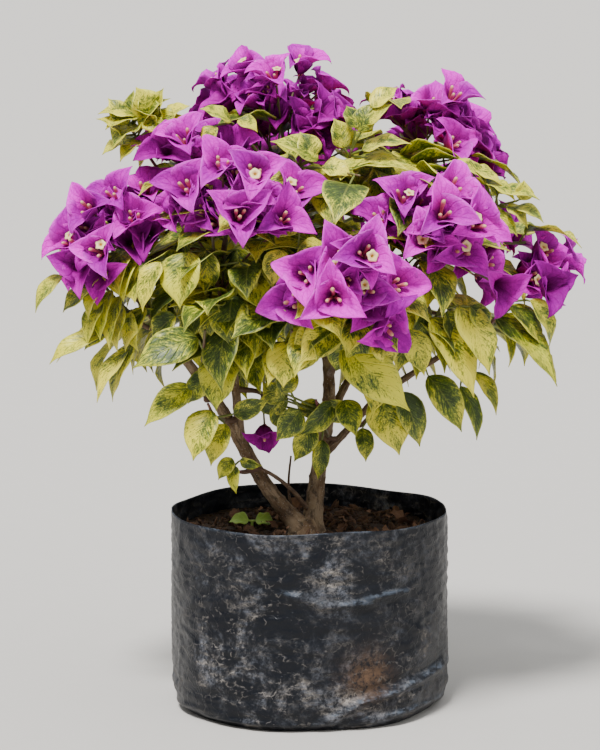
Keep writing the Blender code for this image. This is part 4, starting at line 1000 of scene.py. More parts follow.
def add_flower(gathering, start, way, length, is_open, draw):
    """A slender tube, swollen low down, that ends in a pale star or in a closed bud."""
    across, aside = (np.array(a) for a in two_across(way))
    axis, start = np.array(way), np.array(start)
    size = length / FLOWER_LENGTH
    sides = OPEN_SIDES if is_open else BUD_SIDES
    turns = np.linspace(0, math.tau, sides, endpoint=False) + draw.uniform(0, 1)
    lobes = 1 + LOBE_DEPTH * np.cos(LOBES * turns)
    star = 0.5 + 0.5 * np.cos(LOBES * turns)
    ruffle = 1 + RUFFLE_DEPTH * np.cos(3 * LOBES * turns + draw.uniform(0, 3)) if is_open else lobes
    rings = FLOWER_TUBE + (OPEN_STAR if is_open else CLOSED_BUD)
    points, tints, places = [], [], []
    for share, radius, drawn_out, is_ruffled, pale, gold in rings:
        reach = (radius + drawn_out * star) * size * (ruffle if is_ruffled else lobes)
        out = np.outer(np.cos(turns) * reach, across) + np.outer(np.sin(turns) * reach, aside)
        points.append(start + axis * share * length + out)
        tints.append(np.tile([pale, gold, 0.5, 1.0], (sides, 1)))
        places.append(np.stack([np.arange(sides) / sides, np.full(sides, share)], axis=1))
    gathering.add(np.vstack(points), pipe_faces(len(rings), sides), np.vstack(places), np.vstack(tints))


def model_triplet(places, tree):
    """The place that a triplet takes in the model, and how far each bract opens there."""
    best, best_spreads = None, [None] * 3
    for triplet in places:
        spreads = []
        for number in range(3):
            found = [s for s in SPREAD_TRIES if is_corner(tree, bract_tip(triplet, number, s))]
            spreads.append(found[0] if found else None)
        if sum(s is not None for s in spreads) > sum(s is not None for s in best_spreads):
            best, best_spreads = triplet, spreads
    return best, best_spreads


def model_leaf(places, tree):
    """The place that a leaf takes in the model, or the first that it might take."""
    return next((leaf for leaf in places if is_corner(tree, leaf.tip)), places[0])


def node_of(tree, kind, inputs=None, **settings):
    """A shader node with these settings and inputs."""
    made = tree.nodes.new("ShaderNode" + kind)
    for name, value in settings.items():
        setattr(made, name, value)
    for socket, value in (inputs or {}).items():
        if isinstance(value, Signal):
            tree.links.new(value.socket, made.inputs[socket])
        else:
            made.inputs[socket].default_value = value
    return made


class Signal:
    """A value that a shader node gives. Sums and products of signals are nodes too."""

    def __init__(self, tree, kind, inputs=None, output=0, **settings):
        self.tree = tree
        self.socket = node_of(tree, kind, inputs, **settings).outputs[output]

    def maths(self, operation, first, second=0.0):
        return Signal(self.tree, "Math", {0: first, 1: second}, operation=operation)

    def __add__(self, other):
        return self.maths("ADD", self, other)

    def __radd__(self, other):
        return self.maths("ADD", other, self)

    def __sub__(self, other):
        return self.maths("SUBTRACT", self, other)

    def __mul__(self, other):
        return self.maths("MULTIPLY", self, other)

    def __pow__(self, other):
        return self.maths("POWER", self, other)

    def __abs__(self):
        return self.maths("ABSOLUTE", self)

    def highest(self, other):
        """The higher of two signals."""
        return self.maths("MAXIMUM", self, other)

    def step(self, low, high, out_low=0.0, out_high=1.0):
        """Carried smoothly from one range to another."""
        inputs = {0: self, 1: low, 2: high, 3: out_low, 4: out_high}
        return Signal(self.tree, "MapRange", inputs, interpolation_type="SMOOTHSTEP")

    def swing(self, weight):
        """A noise's swing round its middle, times a weight."""
        return (self - 0.5) * weight


def mixed(tree, share, first, second, mode="MIX"):
    """Two colours mixed by a share."""
    first, second = (c if isinstance(c, Signal) else (*c, 1) for c in (first, second))
    inputs = {0: share, 6: first, 7: second}
    return Signal(tree, "Mix", inputs, 2, data_type="RGBA", blend_type=mode, clamp_factor=True)


class Look:
    """A material, and the nodes that give it its look."""

    def __init__(self, name, roughness, specular=None, subsurface=None, depth=None, radius=None):
        self.material = bpy.data.materials.new(name)
        self.material.use_nodes = True
        self.tree = self.material.node_tree
        self.inputs = self.tree.nodes["Principled BSDF"].inputs
        levels = {
            "Roughness": roughness, "Specular IOR Level": specular, "Subsurface Weight": subsurface,
            "Subsurface Scale": depth, "Subsurface Radius": radius,
        }
        for socket, level in levels.items():
            if level is not None:
                self.inputs[socket].default_value = level

    def node(self, kind, inputs=None, output=0, **settings):
        """One output of a new node."""
        return Signal(self.tree, kind, inputs, output, **settings)

    def mix(self, *parts):
        """Two colours mixed by a share."""
        return mixed(self.tree, *parts)

    def place(self):
        """Where a point of the piece lies."""
        return self.node("TexCoord", output="Object")

    def tint(self):
        """The three numbers that a piece carries at each point."""
        colour = self.node("Attribute", output="Color", attribute_name="tint")
        return [self.node("SeparateColor", {0: colour}, part) for part in range(3)]

    def noise(self, where, scale, detail=4.0, roughness=0.6, distortion=0.0):
        """Noise at this scale."""
        inputs = {
            "Vector": where, "Scale": scale, "Detail": detail, "Roughness": roughness,
            "Distortion": distortion,
        }
        return self.node("TexNoise", inputs, "Fac")

    def cells(self, where, scale, feature="DISTANCE_TO_EDGE"):
        """How far each point is from the edge or middle of its cell."""
        return self.node("TexVoronoi", {"Vector": where, "Scale": scale}, "Distance", feature=feature)

    def stretched(self, where, scales):
        """Places scaled by another share in each direction."""
        return self.node("Mapping", {"Vector": where, "Scale": scales})

    def joined(self, *parts):
        """Three signals as one place."""
        return self.node("CombineXYZ", dict(enumerate(parts)))

    def blade(self):
        """Shares along and across a blade, a place for its noise, its tint, and whether it is a blade, which
        in bracts is instead how far it is lit, for painted shade.
        """
        place = self.node("UVMap", uv_map="place")
        across, along = (self.node("SeparateXYZ", {0: place}, part) for part in range(2))
        across = across * 2.0 - 1.0
        tint = self.tint()
        blade_or_painted_light = self.node("Attribute", output="Alpha", attribute_name="tint")
        return along, across, self.joined(across * 0.31, along, tint[2] * 60.0), tint, blade_or_painted_light

    def veins(self, along, across, count, slant, width):
        """1 on the midrib and the side veins, falling to 0 between them, and the midrib alone."""
        off = abs(across)
        rank = along * count - off * slant
        side = abs(rank.maths("FRACT", rank) - 0.5).step(0.0, width, 1.0, 0.0)
        rib = off.step(0.02, 0.07, 1.0, 0.0)
        return side.highest(rib), rib

    def finish(self, colour, height=None, strength=0.0, distance=0.0):
        """Gives the surface this colour, and its low relief."""
        self.tree.links.new(colour.socket, self.inputs["Base Color"])
        if height:
            inputs = {"Strength": strength, "Distance": distance, "Height": height}
            self.tree.links.new(self.node("Bump", inputs).socket, self.inputs["Normal"])
        return self.material


def leaf_material(name, colours):
    """Yellow with sharp green flecks along the side veins, and a pale margin and midrib."""
    look = Look(name, 0.42, specular=0.35, subsurface=0.12, depth=0.002, radius=(0.9, 1.0, 0.25))
    along, across, where, tint, blade_or_painted_light = look.blade()
    off = abs(across)
    veins, rib = look.veins(along, across, 6.0, 2.1, 0.10)
    slanted = look.joined(across * 0.22, (along - off * 0.33) * 1.2, tint[2] * 90.0)
    patches = look.noise(where, 2.4, 2.0, 0.5, 0.5)
    flecks = look.noise(slanted, 15.0, 5.0, 0.70, 0.3)
    fine = look.noise(where, 34.0, 3.0, 0.65, 0.2)
    spots = look.noise(slanted, 27.0, 3.0, 0.6, 0.4).step(0.53, 0.63)
    zone = patches.swing(1.35) - along * 0.16 - off**3.0 * 0.20 + tint[0] * 0.55
    green = zone + flecks.swing(1.35) + fine.swing(0.80) + spots * 0.26 - veins * 0.03
    ground = look.node("ValToRGB", {0: green + 0.46})
    stops = [(0.34, "cream"), (0.52, "lime"), (0.68, "green"), (0.92, "deep")]
    elements = ground.socket.node.color_ramp.elements
    for i, (place, key) in enumerate(stops):
        element = elements[i] if i < 2 else elements.new(place)
        element.position = place
        element.color = (*colours[key], 1)
    blade = look.mix(tint[1], look.mix(1.0, ground, colours["shade"], "MULTIPLY"), ground)
    blade = look.mix(off.step(0.86, 0.98) * 0.60, blade, colours["margin"])
    blade = look.mix(rib * 0.16, blade, colours["margin"])
    colour = look.mix(blade_or_painted_light, colours["stalk"], blade)
    return look.finish(colour, flecks * 0.4 - veins * 0.8, 0.6, 0.0007)


def bract_material(name, colours):
    """Magenta, pinker at the margins and the tip, with a fine net of veins; painted shade darkens the throat
    and whole bracts low or deep in a head.
    """
    look = Look(name, 0.55, specular=0.05)
    along, across, where, tint, light = look.blade()
    off = abs(across)
    veins, _ = look.veins(along, across, 5.0, 2.4, 0.13)
    net = look.cells(where, 15.0).step(0.0, 0.10, 1.0, 0.0)
    mottle = look.noise(where, 5.0, 4.0, 0.6, 0.3)
    colour = look.mix(mottle.swing(1.6) + tint[0], colours["deep"], colours["bright"])
    rim = off**7.0 * 0.75 + along.step(0.70, 1.0) * 0.30
    colour = look.mix(rim * tint[1], colour, colours["edge"])
    # Painted shade: the bract darkens towards its foot, deep in the cup
    throat = (along + off * 0.15).step(0.06, 0.90, 1.0, 0.0) ** 1.7
    colour = look.mix(throat, colour, colours["throat"])
    colour = look.mix(veins.highest(net) * 0.20, colour, colours["throat"])
    # Painted shade: bracts low or deep in a head turn towards the throat colour
    colour = look.mix(light, colours["throat"], colour)
    return look.finish(colour, mottle * 0.5 - veins * 0.8 - net * 0.3, 0.6, 0.0008)


def flower_material(name, colours):
    """Pinkish-red tubes that turn cream in the open star."""
    look = Look(name, 0.45, subsurface=0.10, depth=0.001)
    tint = look.tint()
    mottle = look.noise(look.place(), 500.0, 2.0, 0.5)
    colour = look.mix(tint[0], look.mix(mottle, colours["tube"], colours["blush"]), colours["star"])
    return look.finish(look.mix(tint[1], colour, colours["gold"]))


def bark_material(name, colours):
    """Grey-brown bark with dark grooves along it, pale lenticels and patches."""
    look = Look(name, 0.82, specular=0.25)
    place = look.place()
    along = look.stretched(look.node("UVMap", uv_map="place"), (9.0, 60.0, 1.0))
    grooves = look.noise(along, 1.6, 6.0, 0.7, 0.6)
    patches = look.noise(place, 55.0, 4.0, 0.6, 0.2)
    lenticels = look.cells(place, 420.0, "F1").step(0.10, 0.26, 1.0, 0.0)
    tint = look.tint()
    colour = look.mix(patches.step(0.36, 0.64), colours["brown"], colours["grey"])
    colour = look.mix(grooves.step(0.34, 0.56, 0.85, 0.0), colour, colours["groove"])
    colour = look.mix(lenticels * 0.55, colour, colours["pale"])
    colour = look.mix(tint[0], colour, colours["young"])
    return look.finish(colour, grooves + lenticels * 0.25, 0.8, 0.0012)


def stem_material(name, colours):
    """Young stems, green to wine red."""
    look = Look(name, 0.5)
    place = look.place()
    patches = look.noise(place, 28.0, 3.0, 0.6)
    fine = look.noise(place, 700.0, 2.0, 0.6)
    colour = look.mix(patches.step(0.38, 0.62), colours["green"], colours["wine"])
    return look.finish(look.mix(fine * 0.4, colour, colours["brown"]), fine, 0.4, 0.0004)


def film_material(name, colours, dustiness):
    """Black film, glossy where clean, with pale dust in webs, scuffs and smudges, and a painted pale-blue
    sheen on its folds and rim.
    """
    look = Look(name, 0.35, specular=0.20)
    place = look.place()
    dust_here, painted_sheen_mask, stain = look.tint()
    swirl = look.node("TexNoise", {"Vector": place, "Scale": 45.0, "Detail": 4.0, "Roughness": 0.6}, "Color")
    drift = look.node("VectorMath", {0: swirl, 3: 0.022}, operation="SCALE")
    bent = look.node("VectorMath", {0: place, 1: drift}, operation="ADD")
    web = look.cells(bent, 95.0).step(0.0, 0.085, 1.0, 0.0)
    finer = look.cells(bent, 210.0).step(0.0, 0.11, 1.0, 0.0)
    clouds = look.noise(place, 26.0, 7.0, 0.72, 0.5)
    grains = look.noise(place, 190.0, 6.0, 0.75, 0.2)
    streaks = look.noise(look.stretched(place, (1.0, 1.0, 3.2)), 60.0, 6.0, 0.7, 0.3)
    smudge = clouds.step(0.44, 0.66) * grains.step(0.38, 0.62)
    lines = web * streaks.step(0.50, 0.62)
    thin = finer * clouds.step(0.50, 0.64)
    dust = smudge * 0.85 + lines * 0.55 + thin * 0.35
    dust = dust * ((dust_here * 1.15 + 0.16) * dustiness)
    dust = dust.highest(clouds.step(0.38, 0.72) * 0.04)
    pale = look.mix(streaks.step(0.40, 0.62), colours["cool_dust"], colours["warm_dust"])
    colour = look.mix(dust, colours["film"], pale)
    # Painted highlight: the sheen colour laid along the folds and the rim
    painted_sheen = painted_sheen_mask * streaks.step(0.46, 0.60, 0.0, 0.9)
    colour = look.mix(painted_sheen * 0.7, colour, colours["sheen"])
    colour = look.mix(stain * grains.step(0.35, 0.60) * 0.6, colour, colours["earth"])
    rough = look.node("MapRange", {0: dust, 1: 0.0, 2: 0.5, 3: 0.36, 4: 0.85})
    look.tree.links.new(rough.socket, look.inputs["Roughness"])
    return look.finish(colour, web * 0.5 + streaks * 0.9, 0.35, 0.0010)


def soil_material(name, colours):
    """Dark moist mix, with each crumb, chip and dry leaf in its own brown."""
    look = Look(name, 0.95, specular=0.2)
    place = look.place()
    chips, dry, _ = look.tint()
    grains = look.noise(place, 320.0, 6.0, 0.7)
    colour = look.mix(look.noise(place, 60.0, 4.0, 0.6), colours["dark"], colours["brown"])
    colour = look.mix(grains.step(0.55, 0.75, 0.0, 0.5), colour, colours["chip"])
    colour = look.mix(chips, colour, colours["chip"])
    colour = look.mix(dry, colour, colours["dry_leaf"])
    shaded = 0.55 + grains * 0.8
    shaded = look.node("CombineColor", {0: shaded, 1: shaded, 2: shaded})
    return look.finish(look.mix(1.0, colour, shaded, "MULTIPLY"), grains, 0.9, 0.0015)


def seedling_material(name, colour, pale):
    """Soft fresh green with paler veins."""
    look = Look(name, 0.5, subsurface=0.1, depth=0.002)
    along, across, where, _, _ = look.blade()
    veins, _ = look.veins(along, across, 4.0, 1.6, 0.14)
    mottle = look.noise(where, 8.0, 3.0, 0.5)
    base = look.mix(mottle * 0.5, colour, pale)
    return look.finish(look.mix(veins * 0.35, base, pale), mottle, 0.4, 0.0004)


def floor_material(name, colour):
    """A plain pale floor with a faint grain."""
    look = Look(name, 0.75, specular=0.2)
    grain = look.noise(look.place(), 30.0, 3.0, 0.5)
    darker = tuple(part * FLOOR_GRAIN for part in colour)
    return look.finish(look.mix(grain, darker, colour))


def round_bag(angle, other):
    """How far round the bag it is from the other angle, in metres."""
    return (np.mod(angle - other + math.pi, math.tau) - math.pi) * BAG_RADIUS


def patch(angle, height, place, reach):
    """1 at this column and row of the photograph, fading out over this many pixels of film."""
    angle_there, height_there = on_bag(*place)
    return fading(np.hypot(round_bag(angle, angle_there), height - height_there), reach * PIXEL)


def fold_relief(angle, height):
    """How far the film stands out along its folds, and how much painted sheen lies on their upper sides."""
    relief, painted_sheen = np.zeros_like(angle), np.zeros_like(angle)
    for start, stop, size, width in FILM_FOLDS:
        (start_angle, start_height), (stop_angle, stop_height) = on_bag(*start), on_bag(*stop)
        run = np.array([(stop_angle - start_angle) * BAG_RADIUS, stop_height - start_height])
        beside, above = round_bag(angle, start_angle), height - start_height
        share = np.clip((beside * run[0] + above * run[1]) / run.dot(run), 0, 1)
        bow = FOLD_BOW * np.linalg.norm(run) * share * (1 - share)
        above = above - share * run[1] - bow
        distance = np.hypot(beside - share * run[0], above)
        fade = np.sin(math.pi * (0.08 + 0.84 * share)) ** 0.6
        relief += size * (fading(distance, width) * fade)
        # Painted highlight: a sky reflection along the upper side of the larger folds
        if size > SHINY_FOLD:
            shine = fading(distance - 0.5 * width * np.sign(above), 0.7 * width) * fade
            painted_sheen = np.maximum(painted_sheen, shine * np.clip(above / width + 0.6, 0, 1))
    return relief, painted_sheen


def film_noise(angle, height, scale, octaves):
    """Smooth noise over the film."""
    values = np.empty(angle.shape)
    for index in np.ndindex(angle.shape):
        a = angle[index]
        place = Vector((math.cos(a), math.sin(a), height[index] / BAG_RADIUS)) * scale
        values[index] = noise.fractal(place, 0.9, 2.1, octaves)
    return values


def film_radius(height):
    """The film's own radius at this height, without its folds."""
    heights = [h for _, h in reversed(FILM_PROFILE)]
    shares = [s for s, _ in reversed(FILM_PROFILE)]
    return BAG_RADIUS * np.interp(height, heights, shares)


def film_relief(angle, height, crease_depth):
    """How far the film stands out beyond its slow waves, and how much painted sheen it has."""
    relief, painted_sheen = fold_relief(angle, height)
    creases = (0.5 - np.abs(film_noise(angle, height * 2.2, 4.0, 3))) * 0.75
    creases += film_noise(angle, height * 2.6, 11.0, 4) * 0.14
    inside_rims = np.clip(height / 0.006, 0, 1) * np.clip((BAG_HEIGHT - height) / 0.010 + 0.35, 0, 1)
    stand_out = creases * crease_depth * inside_rims + relief * np.clip(height / 0.004, 0, 1)
    (ridge, ridge_width), (groove, groove_width) = HEM_RIDGE, HEM_GROOVE
    hem = fading(height - ridge, ridge_width) - 0.8 * fading(height - groove, groove_width)
    stand_out += HEM_DEPTH * hem * (0.6 + 0.4 * np.sin(2 * angle + 1.0))
    return np.maximum(stand_out, -DEEPEST_CREASE), painted_sheen


def film_dust(angle, height):
    """How dusty the film is: as the photograph shows in front, and in bands behind."""
    dust = np.zeros_like(angle)
    for place, reach, amount in DUST_PLACES:
        dust = np.maximum(dust, amount * patch(angle, height, place, reach))
    around = 0.42 + 0.35 * np.sin(2.3 * angle + 9 * height + 1.0) * np.sin(31 * height)
    behind = np.clip((np.sin(angle) + 0.35) / 0.5, 0, 1)
    return np.maximum(dust, behind * around)


def build_bag(settings):
    """The film bag: wavy rim, crumpled wall with its folds, and a gathered base."""
    angles = np.linspace(-math.pi, math.pi, FILM_STEPS, endpoint=False)
    heights = BAG_HEIGHT * (1 - np.linspace(0, 1, FILM_ROWS))
    angle, height = np.meshgrid(angles, heights, indexing="xy")
    stand_out, painted_sheen = film_relief(angle, height, settings.crease_depth)
    radius = film_radius(height) + crumple(angle, height) + stand_out
    near_rim = np.clip((height - 0.12) / 0.04, 0, 1)
    lifted = height + RIM_WAVE * np.sin(4 * angle + 0.8) * near_rim
    lifted -= RIM_WAVE / 2 * np.cos(7 * angle) * near_rim
    lifted = np.minimum(lifted, BAG_HEIGHT + RIM_LIMIT)
    points = np.stack([radius * np.cos(angle), radius * np.sin(angle), lifted], axis=-1).reshape(-1, 3)
    places = np.stack([angle / math.tau + 0.5, height], axis=-1).reshape(-1, 2)
    # Painted highlight: sheen on the upper sides of the folds, and a thin light line along the rim
    painted_highlight = np.maximum(painted_sheen * 0.75, fading(BAG_HEIGHT - height, 0.0012) * 0.55)
    stain = patch(angle, height, *EARTH_STAIN)
    tint = np.stack([film_dust(angle, height), painted_highlight, stain, np.ones_like(angle)], axis=-1).reshape(-1, 4)
    base = []
    for ring in range(1, BASE_RINGS + 1):
        share = 1 - ring / BASE_RINGS
        edge = points[-FILM_STEPS:].copy()
        edge[:, :2] *= max(share, 0.004)
        edge[:, 2] = PLEAT_DEPTH * math.sin(math.pi * share) * (1 + np.sin(23 * angles + 9 * share))
        base.append(edge)
    more = BASE_RINGS * FILM_STEPS
    wall_faces = pipe_faces(FILM_ROWS + BASE_RINGS, FILM_STEPS)
    del wall_faces[-2]
    gathering = Gathering()
    gathering.add(np.vstack([points, *base]), wall_faces, np.vstack([places, np.zeros((more, 2))]),
                  np.vstack([tint, np.tile([0.4, 0.0, 0.0, 1.0], (more, 1))]))
    # The sheen colour is a painted highlight on the folds and the rim
    colours = {
        "film": settings.film_colour, "cool_dust": (0.17, 0.18, 0.21), "warm_dust": (0.25, 0.225, 0.20),
        "earth": (0.17, 0.095, 0.05), "sheen": (0.15, 0.185, 0.24),
    }
    material = film_material("black_film", colours, settings.dustiness)
    bag = gathering.make("grow_bag_film", material, "black_film", ["grow_bag"])
    wall = bag.modifiers.new("wall", "SOLIDIFY")
    wall.thickness = settings.wall
    wall.offset = -1
    return bag


def soil_top(x, y):
    """The height of the potting mix's surface."""
    radius = math.hypot(x, y)
    hollow = min(max((radius - SOIL_HOLLOW_RADIUS) / (SOIL_LEVEL_RADIUS - SOIL_HOLLOW_RADIUS), 0), 1)
    rough = noise.fractal(Vector((x, y, 0.3)) * 70, 0.8, 2.0, 5)
    lumps = noise.noise(Vector((x, y, 2.0)) * 28)
    away = min(max((radius - 0.012) / 0.02, 0.25), 1)
    uneven = away * (SOIL_ROUGHNESS * rough + SOIL_LUMPS * lumps)
    return SOIL_HEIGHT - SOIL_HOLLOW * (1 - hollow) + uneven


def add_lump(gathering, centre, size, tint, draw):
    """A small crumb or chip: an uneven ball pressed in three directions."""
    turn = draw.uniform(0, math.tau)
    spin = wander(draw, 1).normalized().rotation_difference(UP).to_matrix()
    points = []
    for i in range(LUMP_RINGS + 1):
        lift = math.cos(math.pi * i / LUMP_RINGS)
        wide = max(math.sin(math.pi * i / LUMP_RINGS), LUMP_END)
        for j in range(LUMP_SIDES):
            a = turn + math.tau * j / LUMP_SIDES
            jag = draw.uniform(*LUMP_JAGS)
            place = (math.cos(a) * wide * jag * size[0], math.sin(a) * wide * jag * size[1], lift * size[2])
            points.append(centre + spin @ Vector(place))
    faces = [face[::-1] for face in pipe_faces(LUMP_RINGS + 1, LUMP_SIDES)]
    gathering.add(points, faces, np.zeros((len(points), 2)), tint)


def add_soil_body(gathering):
    """The mix itself: its rough top, its side down the film and its underside."""
    angles = np.linspace(-math.pi, math.pi, SOIL_STEPS, endpoint=False)
    cosines, sines = np.cos(angles), np.sin(angles)
    wall = film_radius(SOIL_HEIGHT) - FILM_INSET
    rings = []

    def add_ring(reach, height):
        rings.append(np.stack([reach * cosines, reach * sines, np.broadcast_to(height, SOIL_STEPS)], axis=1))

    for share in np.linspace(0.008, 1, SOIL_RINGS):
        around = wall * share + crumple(angles, SOIL_HEIGHT) * share
        add_ring(around, [soil_top(x, y) for x, y in zip(around * cosines, around * sines)])
    for height in np.linspace(SOIL_HEIGHT - 0.006, 0.010, SOIL_WALL_RINGS):
        add_ring(film_radius(height) - FILM_INSET + crumple(angles, height), height)
    for share in (1.0, 0.5, 0.01):
        add_ring((BAG_RADIUS * FILM_PROFILE[-1][0] - 2 * FILM_INSET) * share, SOIL_FLOOR)
    faces = pipe_faces(len(rings), SOIL_STEPS)
    gathering.add(np.vstack(rings), faces, np.zeros((len(rings) * SOIL_STEPS, 2)), (0, 0, 0, 1))


def soil_spot(draw, reach, rightward=0):
    """A place on the mix, clear of the trunk and more often at the right."""
    while True:
        turn, radius = draw.uniform(0, math.tau), reach * math.sqrt(draw.random())
        x, y = radius * math.cos(turn), radius * math.sin(turn)
        if radius > TRUNK_CLEARANCE and draw.random() < 1 - rightward * (0.5 - x / reach / 2):
            return Vector((x, y, soil_top(x, y)))


def lying_way(draw, lowest, highest):
    """The way that something lies on the mix, with its slope between these."""
    return Vector((draw.uniform(-1, 1), draw.uniform(-1, 1), draw.uniform(lowest, highest))).normalized()


def scatter_lumps(gathering, draw, reach):
    """Crumbs and bark chips on the mix."""
    for _ in range(CRUMBS):
        size = draw.uniform(*CRUMB_SIZES)
        shape = [size * draw.uniform(0.6, 1.2) for _ in range(3)]
        tint = (draw.uniform(0, 0.35), 0, 0, 1)
        add_lump(gathering, soil_spot(draw, reach) + UP * size * 0.3, shape, tint, draw)
    for _ in range(BARK_CHIPS):
        size = draw.uniform(*CHIP_SIZES)
        shape = [size, size * draw.uniform(0.25, 0.5), size * draw.uniform(0.12, 0.3)]
        tint = (draw.uniform(0.3, 0.9), draw.uniform(0, 0.35), 0, 1)
        add_lump(gathering, soil_spot(draw, reach, 0.8) + UP * size * 0.25, shape, tint, draw)


def scatter_roots(gathering, draw, reach):
    """Bits of root on the mix."""
    for _ in range(ROOT_BITS):
        start = soil_spot(draw, reach, 0.3) + UP * 0.0015
        way = lying_way(draw, -0.05, 0.25)
        length = draw.uniform(*ROOT_LENGTHS)
        middle = start + way * length / 2 + UP * 0.002
        stop = start + way * length
        if math.hypot(stop.x, stop.y) > reach:
            continue
        stop.z = soil_top(stop.x, stop.y) + 0.001
        radius = draw.uniform(*ROOT_RADII)
        tint = (draw.uniform(0.2, 0.7), draw.uniform(0, 0.4), 0, 1)
        rod(gathering, [start, middle, stop], [radius, radius, radius * 0.6], 5, 0.003, tint)


def scatter_dry_leaves(gathering, draw, reach):
    """Small dry leaves on the mix, more of them at the right."""
    for _ in range(DRY_LEAVES):
        base = soil_spot(draw, reach, 0.85) + UP * draw.uniform(0.002, 0.005)
        way = lying_way(draw, -0.1, 0.5)
        length = draw.uniform(*DRY_LEAF_LENGTHS)
        tip = base + way * length
        if math.hypot(tip.x, tip.y) > reach:
            continue
        tip.z = max(tip.z, soil_top(tip.x, tip.y) + 0.002)
        face = Vector((draw.uniform(-1, 1), draw.uniform(-1, 1), 1.0))
        before = len(gathering.tints)
        add_leaf(gathering, Leaf(base, base, tip, length * 0.55, face), 0.0, draw, ripple=DRY_LEAF_RIPPLE)
        brown = np.array((0.25, draw.uniform(0.5, 1.0), 0, 1))
        for k in range(before, len(gathering.tints)):
            gathering.tints[k] = np.broadcast_to(brown, gathering.tints[k].shape)


def build_soil(settings):
    """The potting mix, with crumbs, bark chips, dry leaves and bits of root on it."""
    draw = random.Random("potting mix")
    gathering = Gathering()
    add_soil_body(gathering)
    reach = film_radius(SOIL_HEIGHT) - FILM_INSET - 0.006
    scatter_lumps(gathering, draw, reach)
    scatter_roots(gathering, draw, reach)
    scatter_dry_leaves(gathering, draw, reach)
    colours = {
        "dark": settings.dark_colour, "brown": (0.060, 0.036, 0.022),
        "chip": (0.110, 0.060, 0.036), "dry_leaf": (0.190, 0.098, 0.055),
    }
    material = soil_material("potting_mix", colours)
    return gathering.make("potting_mix_surface", material, "potting_mix", ["potting_mix"])


def bark_relief(seed, flare):
    """How a limb's radius varies: leaf scars in rings, slow swellings, shallow grooves, a flared foot."""
    start = random.Random(seed).uniform(0, SCAR_SPACING)

    def relief(distance, turns, point):
        swell = 1 + 0.05 * noise.noise(Vector(point) * 60)
        gap = (distance + start) % SCAR_SPACING - SCAR_SPACING / 2
        scar = SCAR_HEIGHT * fading(gap, SCAR_WIDTH) * (0.7 + 0.3 * np.sin(turns + distance * 400))
        grooves = 0.035 * np.sin(5 * turns + 90 * distance) * np.sin(3 * turns + 1)
        return swell + scar + grooves + flare * fading(distance, FLARE_REACH)

    return relief


def twig_line(foot, heading, tree):
    """The twig that the model has from a limb to this shoot's foot."""
    on_limbs = []
    for line, _ in limb_lines().values():
        for start, stop in zip(line, line[1:]):
            on_limbs += [start.lerp(stop, step / LIMB_STEPS) for step in range(LIMB_STEPS)]
    behind = [p for p in on_limbs if (foot - p).dot(heading) > SHORTEST_TWIG]
    behind.sort(key=lambda p: (p - foot).length + TWIG_FALL_COST * max(0.0, p.z - foot.z))
    lines = []
    for start in behind[:TWIG_STARTS]:
        middle = foot - heading * TWIG_RUN_IN * (foot - start).length
        lines.append([start, middle, foot])
        if len(tree.find_range(middle, TWIG_RADIUS * 1.7)) >= 3:
            return lines[-1]
    return lines[0]


def build_wood(settings, sprays, heads):
    """Root crown, limbs and twigs in one bark."""
    gathering = Gathering()
    tree = corner_tree("trunk_and_limbs")
    crown_line = [Vector((0, 0, height)) for height, _ in CROWN_PROFILE]
    crown_radii = [radius for _, radius in CROWN_PROFILE]

    def root_ribs(distance, turns, point):
        return 1 + 0.10 * np.sin(4 * turns + 1) + 0.05 * np.sin(9 * turns + 200 * distance)

    rod(gathering, crown_line, crown_radii, CROWN_SIDES, 0.0015, (0, 0, 0, 1), root_ribs)
    for name, (line, radii) in limb_lines().items():
        stout = radii[0] > STOUT_LIMB
        flare = MAIN_FLARE if name in ("left_stem", "right_stem") else LIMB_FLARE
        tint = (0.0 if stout else THIN_YOUTH, 0, 0, 1)
        sides = STOUT_SIDES if stout else THIN_SIDES
        rod(gathering, line, radii, sides, BARK_STEP, tint, bark_relief(name, flare))
    for i, shoot in enumerate([spray.stem for spray in sprays] + [head.rachis for head in heads]):
        heading = (shoot[1] - shoot[0]).normalized()
        line = [*twig_line(shoot[0] - heading * SEAT_GAP, heading, tree), shoot[0]]
        radii = [TWIG_RADIUS * share for share in (*TWIG_TAPER, TWIG_TAPER[-1])]
        relief = bark_relief(f"twig {i}", TWIG_FLARE)
        rod(gathering, line, radii, TWIG_SIDES, BARK_STEP, (TWIG_YOUTH, 0, 0, 1), relief)
    colours = {
        "brown": settings.brown_colour, "grey": settings.grey_colour, "groove": (0.045, 0.032, 0.024),
        "pale": (0.42, 0.37, 0.31), "young": (0.115, 0.062, 0.048),
    }
    return gathering.make("trunk_and_limbs_bark", bark_material("bark", colours), "bark",
                          ["trunk_and_limbs"])


def build_leaves(settings, sprays):
    """The leaves of each spray, and those inside the crown behind them."""
    colours = {
        "cream": settings.cream_colour, "lime": (0.33, 0.34, 0.030), "green": (0.095, 0.140, 0.016),
        "deep": settings.green_colour, "margin": (0.50, 0.50, 0.085), "stalk": (0.17, 0.20, 0.045),
        "shade": (0.72, 0.80, 0.60),
    }
    material = leaf_material("variegated_leaf", colours)
    for spray in sprays:
        draw = random.Random("leaves " + spray.name)
        tree = corner_tree("leaves_" + spray.name)
        gathering = Gathering()
        for i, places in enumerate(spray.leaves):
            is_dark = i in DARK_LEAVES.get(spray.name, ())
            darkness = draw.uniform(*(DARK_LEAF if is_dark else LIGHT_LEAF))
            add_leaf(gathering, model_leaf(places, tree), darkness, draw)
        more = MORE_LEAVES.get(spray.name, [])
        for root, place in zip(leaf_roots(spray.stem, more), more):
            darkness = draw.uniform(*(LEAF_BEHIND if place[5] < LEANS_BACK else LEAF_IN_FRONT))
            add_leaf(gathering, seen_leaf(root, place, 0.0), darkness, draw)
        gathering.make("leaves_of_" + spray.name, material, "variegated_leaf", ["leaves_" + spray.name],
                       settings.leaf_thickness)
    return material


